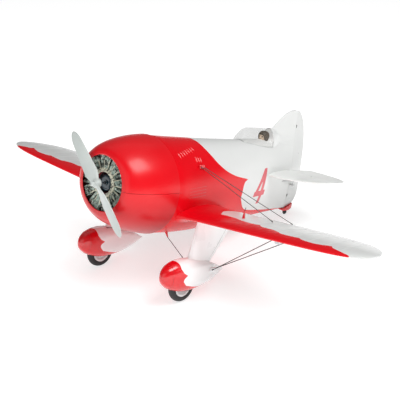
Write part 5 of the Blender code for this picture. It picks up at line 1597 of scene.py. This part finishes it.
def wire_end(place, run, size):
    """Tapered end fitting with a nut, along a wire."""
    profile = [(0.0, size * 0.6), (0.0005, size * 1.6), (0.0013, size * 1.6), (0.0015, size * 1.35)]
    profile += [(0.0030, size * 1.2), (0.0040, size * 0.9), (0.0040, size * 0.5)]
    return Shape().turned(profile, 12, place, run)


def tab(places):
    """Small bevelled plate that the wires of one side start from."""
    inner = max(p.x for p in places) + SEAT_GAP
    low_y, high_y = min(p.y for p in places) - TAB_MARGIN, max(p.y for p in places) + TAB_MARGIN
    low_z, high_z = min(p.z for p in places) - TAB_MARGIN, max(p.z for p in places) + TAB_MARGIN
    loops = []
    for x, inset in ((-0.0006, 0.0), (TAB_THICKNESS * 0.6, 0.0), (TAB_THICKNESS, 0.0003)):
        long, tall = (high_y - low_y) / 2 - inset, (high_z - low_z) / 2 - inset
        aft, height = (high_y + low_y) / 2, (high_z + low_z) / 2
        ring = squircle_ring(32, 4.0)
        loops.append([Vector((inner + x, aft + long * p, height + tall * q)) for p, q in ring])
    return Shape().loft(loops)


def wire_set(starts, ends, radius):
    """Wires with their end fittings, and the plate that they start from."""
    inner = max(p.x for p in starts) + SEAT_GAP + TAB_THICKNESS / 2
    rig = Shape()
    for start, end in zip(starts, ends):
        first = Vector((inner, start.y, start.z))
        run = (end - first).normalized()
        last = end - run * WIRE_STANDOFF * 0.3
        rig.tube([first, last], radius)
        rig.join(wire_end(first + run * 0.0008, run, WIRE_RADIUS))
        rig.join(wire_end(last, -run, WIRE_RADIUS))
    return rig, tab(starts)


def upper_wires():
    starts = [Vector((body_side(a - TAB_MARGIN, h - TAB_MARGIN), a, h)) for a, h in UPPER_ANCHORS]
    ends = [Vector((x, aft, wing_top(x, aft) + WIRE_RADIUS)) for x, aft in UPPER_FEET]
    return wire_set(starts, ends, WIRE_RADIUS)


def lower_wires():
    starts = []
    for aft, height in LOWER_PANT_ANCHORS:
        side = WHEEL_X + pant_side(aft - TAB_MARGIN, height - TAB_MARGIN)
        starts.append(Vector((side, aft, height)))
    ends = [Vector((x, aft, wing_under(x, aft) - LOWER_WIRE_RADIUS)) for x, aft in LOWER_WING_ANCHORS]
    return wire_set(starts, ends, LOWER_WIRE_RADIUS)


def belly_post_tip():
    floor = body_floor(BELLY_POST_AFT, BELLY_POST_X)
    return Vector((BELLY_POST_X, BELLY_POST_AFT + BELLY_POST_HEIGHT * 0.55, floor - BELLY_POST_HEIGHT))


def belly_wire():
    across, aft = BELLY_WIRE_FOOT
    foot = Vector((WHEEL_X + across, aft, pant_roof(aft, across)))
    start = belly_post_tip()
    run = (foot - start).normalized()
    rig = Shape().tube([start + run * 0.0003, foot], WIRE_RADIUS)
    return rig.join(wire_end(foot, -run, WIRE_RADIUS))


def wedge_post(root, tip, chord, thickness):
    """Streamlined post, wide at its root and narrow at its tip."""
    loops = []
    for share in spread(0.0, 1.0, 16):
        size = 1 - 0.7 * share**0.8
        place = root.lerp(tip, share)
        ring = [(math.cos(t), math.sin(t)) for t in circle_turns(28, 0.5)]
        outline = [(thickness / 2 * p * (1 - 0.35 * q), chord / 2 * q) for p, q in ring]
        loops.append([place + Vector((x * size, y * size, 0)) for x, y in outline])
    return Shape().loft(loops)


def wing_post():
    foot = Vector((POST_X, POST_AFT, wing_top(POST_X, POST_AFT) - GAP))
    post = wedge_post(foot, foot + UP * (POST_HEIGHT + SEAT_GAP), POST_CHORD, POST_CHORD * 0.45)
    top = foot + UP * POST_HEIGHT * 0.8
    return post, Shape().tube([top, top + Vector((0, POST_ROD * 0.2, POST_ROD))], WIRE_RADIUS)


def belly_post():
    floor = body_floor(BELLY_POST_AFT, BELLY_POST_X)
    root = Vector((BELLY_POST_X, BELLY_POST_AFT, floor + GAP * 2))
    return wedge_post(root, belly_post_tip(), POST_CHORD, POST_CHORD * 0.45)


# Finishes


class Finish:
    """Node material with a Principled shader, patterned on the piece's own coordinates."""

    def __init__(self, name, roughness, metallic=0.0, coat=0.0, specular=0.5):
        self.material = bpy.data.materials.new(name)
        self.material.use_nodes = True
        self.nodes = self.material.node_tree.nodes
        self.links = self.material.node_tree.links
        self.shader = self.nodes["Principled BSDF"]
        self.coords = self.node("TexCoord").outputs["Object"]
        self.set("Metallic", metallic).set("Coat Weight", coat).set("Coat Roughness", 0.14)
        self.set("Specular IOR Level", specular)
        self.drive("Roughness", self.noise(60.0, roughness * 0.9, min(roughness * 1.12, 1.0)))

    def node(self, kind, **values):
        """New node, with the values of its inputs."""
        made = self.nodes.new("ShaderNode" + kind)
        for socket, value in values.items():
            made.inputs[socket].default_value = value
        return made

    def set(self, socket, value):
        self.shader.inputs[socket].default_value = value
        return self

    def drive(self, socket, source):
        """Lets another node's result steer the shader."""
        self.links.new(source, self.shader.inputs[socket])
        return self

    def fit(self, value, start, end, soft=False):
        """Number that runs between two pairs of reading and result."""
        made = self.node("MapRange")
        if soft:
            made.interpolation_type = "SMOOTHSTEP"
        for word, (reading, result) in (("Min", start), ("Max", end)):
            made.inputs["From " + word].default_value = reading
            made.inputs["To " + word].default_value = result
        self.links.new(value, made.inputs["Value"])
        return made.outputs["Result"]

    def noise(self, scale, low, high, detail=4.0, stretch=(1, 1, 1)):
        """Cloudy number between two values."""
        place = self.node("Mapping", Scale=stretch)
        cloud = self.node("TexNoise", Scale=scale, Detail=detail)
        self.links.new(self.coords, place.inputs["Vector"])
        self.links.new(place.outputs["Vector"], cloud.inputs["Vector"])
        return self.fit(cloud.outputs["Fac"], (0.3, low), (0.7, high))

    def blend(self, share, first, second):
        """Colour between two colours or colour sockets."""
        mix = self.node("Mix")
        mix.data_type = "RGBA"
        self.links.new(share, mix.inputs[0])
        for socket, colour in ((mix.inputs[6], first), (mix.inputs[7], second)):
            if isinstance(colour, tuple):
                socket.default_value = (*colour, 1.0)
            else:
                self.links.new(colour, socket)
        return mix.outputs[2]

    def cloudy(self, colour, drift, scale):
        """Colour that drifts a little lighter and darker."""
        dark = tuple(c * (1 - drift) for c in colour)
        light = tuple(min(c * (1 + drift), 1.0) for c in colour)
        return self.blend(self.noise(scale, 0.0, 1.0, 5.0), dark, light)

    def field(self, name):
        """0 to 1 across the zero line of a number stored on the skin."""
        stored = self.node("Attribute")
        stored.attribute_name = name
        return self.fit(stored.outputs["Fac"], (-PAINT_EDGE, 0.0), (PAINT_EDGE, 1.0))

    def paint(self, colour):
        return self.drive("Base Color", colour)

    def grain(self, distance, scale, stretch=(1, 1, 1), strength=0.5):
        """Fine relief."""
        bump = self.node("Bump", Strength=strength, Distance=distance)
        self.links.new(self.noise(scale, 0.0, 1.0, 6.0, stretch), bump.inputs["Height"])
        return self.drive("Normal", bump.outputs["Normal"])

    def measure(self, kind, direction=(0.0, 0.0, 0.0)):
        """Distance from the middle, or along a direction."""
        made = self.node("VectorMath")
        made.operation = kind
        made.inputs[1].default_value = direction
        self.links.new(self.coords, made.inputs[0])
        return made.outputs["Value"]

    def glow(self, *rules):
        """Own light: the product of soft steps, each between two pairs of distance and strength."""
        light = None
        for rule in rules:
            step = self.fit(*rule, soft=True)
            if light:
                both = self.node("Math")
                both.operation = "MULTIPLY"
                self.links.new(light, both.inputs[0])
                self.links.new(step, both.inputs[1])
                step = both.outputs[0]
            light = step
        return self.set("Emission Color", LIGHT_WHITE).drive("Emission Strength", light)


def two_tone(name, white, numeral=False, gloss=0.10, specular=0.20):
    """Gloss paint in red and white, its border stored on the skin."""
    made = Finish(name, 0.24, coat=gloss, specular=specular)
    red = made.cloudy(RED, 0.04, 22.0)
    white = made.cloudy(white, 0.012, 26.0)
    if numeral:
        white = made.blend(made.field("numeral"), white, made.cloudy(NUMERAL_RED, 0.06, 80.0))
    made.paint(made.blend(made.field("paint"), red, white))
    return made.grain(0.00002, FOAM_GRAIN, strength=0.06).material


def plain_coat(name, colour, roughness, drift=0.06, scale=40.0, grain=0.00003, relief=0.3, **shader):
    """One finish with a drifting colour and fine grain."""
    made = Finish(name, roughness, **shader)
    return made.paint(made.cloudy(colour, drift, scale)).grain(grain, FINE_GRAIN, strength=relief).material


def white_paint(name, colour, roughness, coat):
    """Smooth white with hardly any drift in it."""
    return plain_coat(name, colour, roughness, 0.012, 30.0, relief=0.06, coat=coat)


def mottled(name, roughness, noise, first, second, grain=0.00006, fine=FINE_GRAIN, coat=0.0):
    """Finish with patches of two colours."""
    made = Finish(name, roughness, coat=coat)
    return made.paint(made.blend(made.noise(*noise), first, second)).grain(grain, fine).material


def engine_castings():
    """Mottled grey-green castings with dark patches."""
    made = Finish("cylinder_castings", 0.42)
    base = made.blend(made.noise(260.0, -0.6, 1.7, 5.0), (0.022, 0.026, 0.020), (0.40, 0.52, 0.45))
    made.paint(made.blend(made.noise(430.0, -1.6, 1.1, 3.0), base, (0.84, 0.86, 0.76)))
    return made.grain(0.00006, 1500.0).material


def plywood():
    made = Finish("birch_plywood", 0.6)
    veins = made.noise(60.0, 0.0, 1.0, 6.0, (1.0, 0.06, 1.0))
    made.paint(made.blend(veins, (0.48, 0.30, 0.14), (0.68, 0.50, 0.30)))
    return made.grain(0.00006, 400.0, (1, 0.08, 1)).material


def clear_plastic():
    """Milky clear hood, painted white behind the window."""
    made = Finish("clear_canopy_plastic", 0.12, coat=0.2)
    painted, clear = made.cloudy(WHITE, 0.012, 60.0), made.cloudy(CLEAR_TINT, 0.03, 60.0)
    made.paint(made.blend(made.field("window"), painted, clear))
    made.drive("Alpha", made.fit(made.field("window"), (0.0, 1.0), (1.0, CLEAR_ALPHA)))
    return made.grain(0.00002, 300.0, strength=0.1).material


def cowl_red_with_painted_shade():
    """Gloss red with painted shade that deepens it towards the belly."""
    made = Finish("cowl_red_with_painted_shade", 0.34, coat=0.40, specular=0.22).set("Coat Roughness", 0.24)
    low, high = COWL_SHADE
    upward = made.fit(made.measure("DOT_PRODUCT", UP), (low, 0.0), (high, 1.0))
    made.paint(made.blend(upward, made.cloudy(BELLY_SHADE_RED, 0.04, 18.0), made.cloudy(RED, 0.04, 18.0)))
    return made.grain(0.00003, FINE_GRAIN, strength=0.03).material


def hood_white_with_painted_glow(name, glow):
    """Matt white with a painted glow that lightens the shade under the hood."""
    made = Finish(name, 0.45)
    made.paint(made.cloudy(DECK_WHITE_PAINTED_LIGHT, 0.012, 60.0)).grain(0.00003, FINE_GRAIN, strength=0.06)
    return made.set("Emission Color", LIGHT_WHITE).set("Emission Strength", glow).material


def make_finishes():
    """Every finish by its short name. The inner solids take theirs by the name of their slot."""
    cream_and_soot = (0.74, 0.73, 0.58), (0.07, 0.075, 0.055)
    board_greens = (0.010, 0.10, 0.045), (0.06, 0.24, 0.12)
    return {
        "body": two_tone("body_red_and_white", WHITE, numeral=True, specular=0.14),
        "wing": two_tone("wing_red_and_white", WHITE),
        # Pants, tailplane and legs take a lighter white as painted light, the rudder a darker white as
        # painted shade
        "pant": two_tone("pant_red_and_white", GEAR_WHITE_PAINTED_LIGHT, gloss=0.7, specular=0.5),
        # Cowl red with painted shade towards the belly
        "cowl_paint": cowl_red_with_painted_shade(),
        "red_paint": plain_coat("trim_red", RED, 0.26, coat=0.3),
        "tail_paint": white_paint("tail_white", TAILPLANE_WHITE_PAINTED_LIGHT, 0.30, 0.2),
        "rudder_paint": white_paint("rudder_white", RUDDER_WHITE_PAINTED_SHADE, 0.30, 0.2),
        "leg_paint": white_paint("leg_white", GEAR_WHITE_PAINTED_LIGHT, 0.28, 0.25),
        # Deck and bulkhead glow a little: painted light under the hood
        "deck_paint": hood_white_with_painted_glow("deck_white", DECK_GLOW),
        "bulkhead_paint": hood_white_with_painted_glow("bulkhead_white", BULKHEAD_GLOW),
        "seam": plain_coat("seam_shadow", (0.42, 0.42, 0.43), 0.5, 0.15),
        "red_seam": plain_coat("red_seam_shadow", (0.46, 0.003, 0.008), 0.4, 0.1),
        "clear_canopy": clear_plastic(),
        "skin": plain_coat("figure_skin", (0.80, 0.60, 0.44), 0.5, 0.05, 300.0),
        "leather": plain_coat("helmet_leather", (0.085, 0.058, 0.040), 0.5, 0.25, 400.0, 0.00010),
        "jacket": plain_coat("jacket_cloth", (0.40, 0.33, 0.25), 0.75, 0.2, 500.0, 0.00012),
        "lens": plain_coat("goggle_lens", (0.02, 0.025, 0.03), 0.08, 0.2, coat=0.6),
        "castings": engine_castings(),
        # Near-black engine backing: painted shade between and behind the cylinders
        "soot": plain_coat("engine_shadow", (0.020, 0.022, 0.020), 0.6, 0.4, 300.0),
        "cream": plain_coat("crankcase_cream", (0.70, 0.68, 0.54), 0.38, 0.14, 260.0),
        "case_grey": mottled("crankcase_speckled", 0.36, (520.0, -0.7, 1.3, 3.0), *cream_and_soot),
        # Dark red of the recess round the motor: painted shade
        "deep_red": plain_coat("motor_well_painted_shade_red", (0.20, 0.004, 0.010), 0.30, 0.2, coat=0.3),
        "motor_can": plain_coat("dark_anodised_can", (0.008, 0.030, 0.045), 0.10, 0.3, relief=0.02, coat=0.3),
        "prop_plastic": plain_coat("propeller_grey", (0.56, 0.60, 0.58), 0.36, 0.04, 50.0),
        "dark_plastic": plain_coat("black_plastic", (0.022, 0.022, 0.024), 0.42, 0.25, 200.0),
        "steel": plain_coat("bright_steel", (0.46, 0.46, 0.47), 0.28, 0.1, 300.0, metallic=1.0),
        "wire": plain_coat("dark_wire", (0.085, 0.070, 0.068), 0.42, 0.2, 300.0, metallic=0.3),
        "carbon": plain_coat("carbon_rod", (0.016, 0.016, 0.018), 0.35, 0.4, 600.0),
        "tyre": plain_coat("black_rubber", (0.022, 0.022, 0.023), 0.62, 0.2, 200.0, 0.00008),
        "hub_plastic": plain_coat("hub_white", (0.80, 0.80, 0.80), 0.34, 0.03, coat=0.1),
        "motor_metal": plain_coat("turned_aluminium", (0.55, 0.55, 0.56), 0.32, 0.08, 400.0, metallic=1.0),
        "plywood": plywood(),
        "circuit_board": mottled("green_circuit_board", 0.35, (700.0, -0.6, 0.8, 2.0), *board_greens,
                                 grain=0.00008, fine=800.0, coat=0.2),
        "battery_wrap": plain_coat("battery_wrap", (0.03, 0.05, 0.16), 0.3, 0.2, 100.0, coat=0.4),
    }


COATS = make_finishes()


# What repeats


def repeat_tree():
    """Sets a small part at even steps along paths, standing on the skin, and makes it one mesh."""
    tree = bpy.data.node_groups.new("repeat_along_paths", "GeometryNodeTree")
    inputs = (("Geometry", "Geometry"), ("Part", "Object"), ("Count", "Int"), ("Finish", "Material"))
    for name, kind in inputs:
        tree.interface.new_socket(name, in_out="INPUT", socket_type="NodeSocket" + kind)
    tree.interface.new_socket("Geometry", in_out="OUTPUT", socket_type="NodeSocketGeometry")
    new = tree.nodes.new
    given, out = new("NodeGroupInput"), new("NodeGroupOutput")
    curve, steps = new("GeometryNodeMeshToCurve"), new("GeometryNodeResampleCurve")
    part, place = new("GeometryNodeObjectInfo"), new("GeometryNodeInstanceOnPoints")
    tangent, outward = new("GeometryNodeInputTangent"), new("GeometryNodeInputNamedAttribute")
    outward.data_type = "FLOAT_VECTOR"
    outward.inputs["Name"].default_value = "outward"
    first, second = new("FunctionNodeAlignRotationToVector"), new("FunctionNodeAlignRotationToVector")
    first.axis, second.axis, second.pivot_axis = "Z", "X", "Z"
    real, coat = new("GeometryNodeRealizeInstances"), new("GeometryNodeSetMaterial")
    links = (
        (given, "Geometry", curve, "Mesh"),
        (curve, "Curve", steps, "Curve"),
        (given, "Count", steps, "Count"),
        (steps, "Curve", place, "Points"),
        (given, "Part", part, "Object"),
        (part, "Geometry", place, "Instance"),
        (outward, "Attribute", first, "Vector"),
        (tangent, "Tangent", second, "Vector"),
        (first, "Rotation", second, "Rotation"),
        (second, "Rotation", place, "Rotation"),
        (place, "Instances", real, "Geometry"),
        (real, "Geometry", coat, "Geometry"),
        (given, "Finish", coat, "Material"),
        (coat, "Geometry", out, "Geometry"),
    )
    for source, result, target, socket in links:
        tree.links.new(source.outputs[result], target.inputs[socket])
    return tree


REPEAT_TREE = repeat_tree()


def repeat(paths, outward, part, count, coat):
    """Mesh of a part repeated along each path. Outward gives the direction that the part stands up in."""
    points, edges, ups = [], [], []
    for path in paths:
        start = len(points)
        points += path
        ups += [outward(p) for p in path]
        edges += [(start + i, start + i + 1) for i in range(len(path) - 1)]
    mesh = bpy.data.meshes.new("paths")
    mesh.from_pydata(points, edges, [])
    layer = mesh.attributes.new("outward", "FLOAT_VECTOR", "POINT")
    layer.data.foreach_set("vector", [c for up in ups for c in up])
    holder, single = placed("paths", mesh), placed("part", as_mesh(part))
    step = holder.modifiers.new("repeat", "NODES")
    step.node_group = REPEAT_TREE
    values = {"Part": single, "Count": count, "Finish": COATS[coat]}
    for item in REPEAT_TREE.interface.items_tree:
        if item.in_out == "INPUT" and item.name in values:
            step[item.identifier] = values[item.name]
    return worked(holder, [single])


# Assembly


def both_sides(name, form, coat, bodies=("airframe", "airframe")):
    """The left piece and its twin on the right, each standing for the solid of its own side."""
    skin = as_mesh(form)
    twin = other_side(skin)
    for side, half, body in (("left", skin, bodies[0]), ("right", twin, bodies[1])):
        finish_piece(f"{name}_{side}_skin", half, coat, body, [f"{name}_{side}"])


def trim_both(name, form, coat):
    """Trim on the left of the airframe and its twin on the right."""
    trim = as_mesh(form)
    twin = other_side(trim)
    finish_piece(name + "_left", trim, coat)
    finish_piece(name + "_right", twin, coat)


def build_body():
    skin = carve(fuselage(), [fin()], "UNION")
    skin = carve(skin, [cockpit_opening().join(rudder_cove())])
    skin = joined(skin, hinge_lugs(RUDDER_EYES, UP, AFT, TAIL_HALF_WIDTH * 1.2))
    write_field(skin, "paint", body_white)
    write_field(skin, "numeral", body_numeral)
    nodes, angle = ["fuselage_shell"], FUSELAGE_SHARP_ANGLE
    finish_piece("fuselage_skin", skin, "body", "airframe", nodes, angle)
    for name, (path, count) in zip(("shoulder_louvers", "side_louvers"), louver_rows()):
        slots = repeat([path], body_outward, louver(), count, "cowl_paint")
        trim_both(name, slots, "cowl_paint")
    trim_both("side_creases", side_creases(), "cowl_paint")
    finish_piece("cowl_lower_skin", cowl_half(False), "cowl_paint", "airframe", ["cowl_lower"])
    finish_piece("cowl_hatch_skin", cowl_half(True), "cowl_paint", "hatch", ["cowl_hatch"])


def build_wings():
    axis = aileron_axis()
    ends = (AILERON_INNER + AILERON_EYE_INSET, AILERON_OUTER - AILERON_EYE_INSET)
    places = [aileron_line(x) for x in ends]
    skin = joined(carve(wing(), [aileron_bay(), servo_pocket()]), hinge_lugs(places, axis, AFT))
    write_field(skin, "paint", wing_white)
    both_sides("wing", skin, "wing")
    middle = aileron_line(AILERON_HORN_X)
    arm = horn(middle + AFT * HORN_ROOT_AFT, middle - UP * AILERON_HORN_ARM, LEFT)
    flap = joined(carve(aileron(), [hinge_notches(places, axis, AFT)]), arm)
    write_field(flap, "paint", wing_white)
    both_sides("aileron", flap, "wing", ("aileron_left", "aileron_right"))


def build_tail():
    places = [Vector((ELEVATOR_EYE, ELEVATOR_HINGE, TAIL_HEIGHT))]
    plane = joined(tailplane(), hinge_lugs(mirrored(places), LEFT, AFT))
    finish_piece("stabilizer_skin", plane, "tail_paint", "airframe", ["stabilizer"])
    left = carve(elevator(), [hinge_notches(places, LEFT, AFT)])
    pivot = Vector((ELEVATOR_HORN_X, ELEVATOR_HINGE, TAIL_HEIGHT - ELEVATOR_HORN_ARM))
    root = Vector((ELEVATOR_HORN_X, ELEVATOR_HINGE + HORN_ROOT_AFT, TAIL_HEIGHT))
    right = joined(other_side(left), horn(root, pivot, LEFT))
    for node, blade in (("elevator_left", left), ("elevator_right", right)):
        finish_piece(node + "_skin", blade, "tail_paint", "elevator", [node])
    level = RUDDER_ROD_HEIGHT - RUDDER_ROD_DROP * 0.75
    pivot = Vector((RUDDER_HORN_ARM, RUDDER_HINGE, level))
    root = Vector((RUDDER_HORN_ROOT[0], RUDDER_HINGE + RUDDER_HORN_ROOT[1], level))
    notches = hinge_notches(RUDDER_EYES, UP, AFT, TAIL_HALF_WIDTH * 1.5)
    blade = joined(carve(rudder(), [notches]), horn(root, pivot, UP))
    finish_piece("rudder_skin", blade, "rudder_paint", "rudder", ["rudder"])
    well = wheel_well(TAILWHEEL, TAILWHEEL_RADIUS, TAILWHEEL_WIDTH, TAILWHEEL_WELL_GAP, TAILWHEEL_RADIUS * 3)
    skid = carve(tail_fairing(), [well])
    finish_piece("tail_fairing_skin", skid, "red_paint", "rudder", ["tail_fairing"])
    wheel = tyre(TAILWHEEL, TAILWHEEL_RADIUS, TAILWHEEL_WIDTH, TAIL_AXLE_RADIUS + PIN_GAP)
    finish_piece("tailwheel_tyre", wheel, "tyre", "tailwheel", ["tailwheel"])


def build_gear():
    wheel = Vector((WHEEL_X, WHEEL_AFT, WHEEL_HEIGHT))
    skin = carve(pant(), [wheel_well(wheel, WHEEL_RADIUS, TYRE_WIDTH, WHEEL_WELL_GAP, WHEEL_RADIUS * 2)])
    write_field(skin, "paint", pant_white)
    both_sides("wheel_pant", skin, "pant")
    both_sides("gear_leg", gear_leg(), "leg_paint")
    trim_both("leg_line", leg_line(), "seam")
    trim_both("pant_line", pant_line(), "red_seam")
    bodies = ("wheel_left", "wheel_right")
    both_sides("tyre", tyre(wheel, WHEEL_RADIUS, TYRE_WIDTH, HUB_RADIUS), "tyre", bodies)
    both_sides("hub", hub(wheel), "hub_plastic", bodies)


def build_engine():
    # The backing plate is near-black, painted shade between the cylinders
    finish_piece("engine_plate", engine_plate(), "soot", "airframe", ["dummy_engine"])
    finish_piece("crankcase_ring", crankcase(), "case_grey")
    # The motor well's dark red is painted shade in the recess
    finish_piece("motor_well", motor_well(), "deep_red")
    rows = (
        ("barrel_fins", engine_spokes(BARREL_SPAN), barrel_fin(), "castings"),
        ("head_fins", head_rows(), head_plate(), "castings"),
        ("push_tubes_near", engine_spokes(PUSH_TUBE_SPAN, PUSH_TUBE_TURN), push_tube(), "cream"),
        ("push_tubes_far", engine_spokes(PUSH_TUBE_SPAN, -PUSH_TUBE_TURN), push_tube(), "cream"),
        ("intake_pipes", engine_spokes(PIPE_SPAN, math.pi / CYLINDERS), intake_pipe(), "castings"),
    )
    for name, paths, part, coat in rows:
        finish_piece(name, repeat(paths, forward, part, CYLINDER_STEPS, coat), coat)
    studs = repeat([stud_circle()], forward, stud(), STUDS, "cream")
    finish_piece("crankcase_studs", studs, "cream")
    finish_piece("motor_can", motor_can(), "motor_can", "propeller", ["motor_bell"])
    blades = joined(prop_blades(), prop_hub())
    finish_piece("propeller_moulding", blades, "prop_plastic", "propeller", ["propeller"])
    finish_piece("propeller_nut", prop_nut(), "prop_plastic", "propeller", ["prop_nut"])


def build_cabin():
    hood = as_mesh(canopy())
    write_field(hood, "window", window_clear)
    finish_piece("canopy_hood", hood, "clear_canopy", "airframe", ["canopy"])
    # The deck and the bulkhead glow a little: painted light against the shade under the hood
    finish_piece("cockpit_deck", cockpit_deck(), "deck_paint")
    finish_piece("hood_bulkhead", hood_bulkhead(), "bulkhead_paint")
    head = head_skin(0.0, -0.96, 0.97, calm_face)
    finish_piece("pilot_head", head, "skin", "airframe", ["pilot_figure"])
    helmet = carve(head_skin(0.09, -0.75, 0.999), [face_window()])
    finish_piece("pilot_helmet", helmet, "leather")
    finish_piece("pilot_eyes", eyes(), "lens")
    finish_piece("pilot_jacket", shoulders(), "jacket")


def build_rigging():
    wires = (("upper_wires", upper_wires(), "red_paint"), ("lower_wires", lower_wires(), "leg_paint"))
    for name, (rig, plate), coat in wires:
        both_sides(name, rig, "wire")
        trim_both(name + "_plate", plate, coat)
    both_sides("belly_wire", belly_wire(), "wire")
    both_sides("belly_post", belly_post(), "red_paint")
    post, rod = wing_post()
    both_sides("wing_post", post, "red_paint")
    trim_both("wing_post_rod", rod, "wire")


def finish_solids():
    """Finishes for the inner solids that show as they are."""
    for entry in frame["record"]["subparts"]:
        node = frame["nodes"][entry["node"]]
        if entry["material_slot"] in COATS and not node.hide_render:
            node.data.materials.clear()
            node.data.materials.append(COATS[entry["material_slot"]])


def facing(direction):
    """Turn that points a lamp or the camera along a direction."""
    return direction.to_track_quat("-Z", "Y").to_euler()


def lay_floor():
    """White sweep that gives off a soft light of its own."""
    made = Finish("white_floor", 0.55)
    made.paint(made.cloudy(FLOOR_GREY, 0.01, 3.0)).grain(0.0002, 20.0, strength=0.05)
    made.glow((made.measure("LENGTH"), *FLOOR_RING), (made.measure("DOT_PRODUCT", AWAY), *FLOOR_BACK),
              (made.measure("DOT_PRODUCT", RIGHTWARD), *FLOOR_RIGHT))
    sheet = bpy.data.meshes.new("floor")
    corners = [(x * FLOOR_HALF, y * FLOOR_HALF, 0) for x, y in ((-1, -1), (1, -1), (1, 1), (-1, 1))]
    sheet.from_pydata(corners, [], [(0, 1, 2, 3)])
    sheet.materials.append(made.material)
    placed("floor", sheet)


def set_stage():
    """Floor, soft light and the camera."""
    lay_floor()
    scene = bpy.context.scene
    scene.view_settings.view_transform = "Standard"
    scene.world = bpy.data.worlds.new("studio")
    scene.world.use_nodes = True
    sky = scene.world.node_tree.nodes["Background"]
    sky.inputs["Color"].default_value = LIGHT_WHITE
    sky.inputs["Strength"].default_value = SKY_LIGHT
    for name, place, wide, tall, power in LAMPS:
        lamp = bpy.data.lights.new(name, "AREA")
        lamp.shape, lamp.size, lamp.size_y, lamp.energy = "RECTANGLE", wide, tall, power
        light = placed(name, lamp)
        light.location = place
        light.rotation_euler = facing(LAMP_AIM - Vector(place))
    lens = bpy.data.cameras.new("camera")
    lens.lens, lens.sensor_width, lens.clip_start = CAMERA_LENS, CAMERA_SENSOR, CAMERA_NEAR
    scene.camera = placed("camera", lens)
    scene.camera.location = CAMERA_PLACE
    scene.camera.rotation_euler = facing(CAMERA_LOOK)


def build_plane():
    build_body()
    build_wings()
    build_tail()
    build_gear()
    build_engine()
    build_cabin()
    build_rigging()
    finish_solids()
    set_stage()


build_plane()
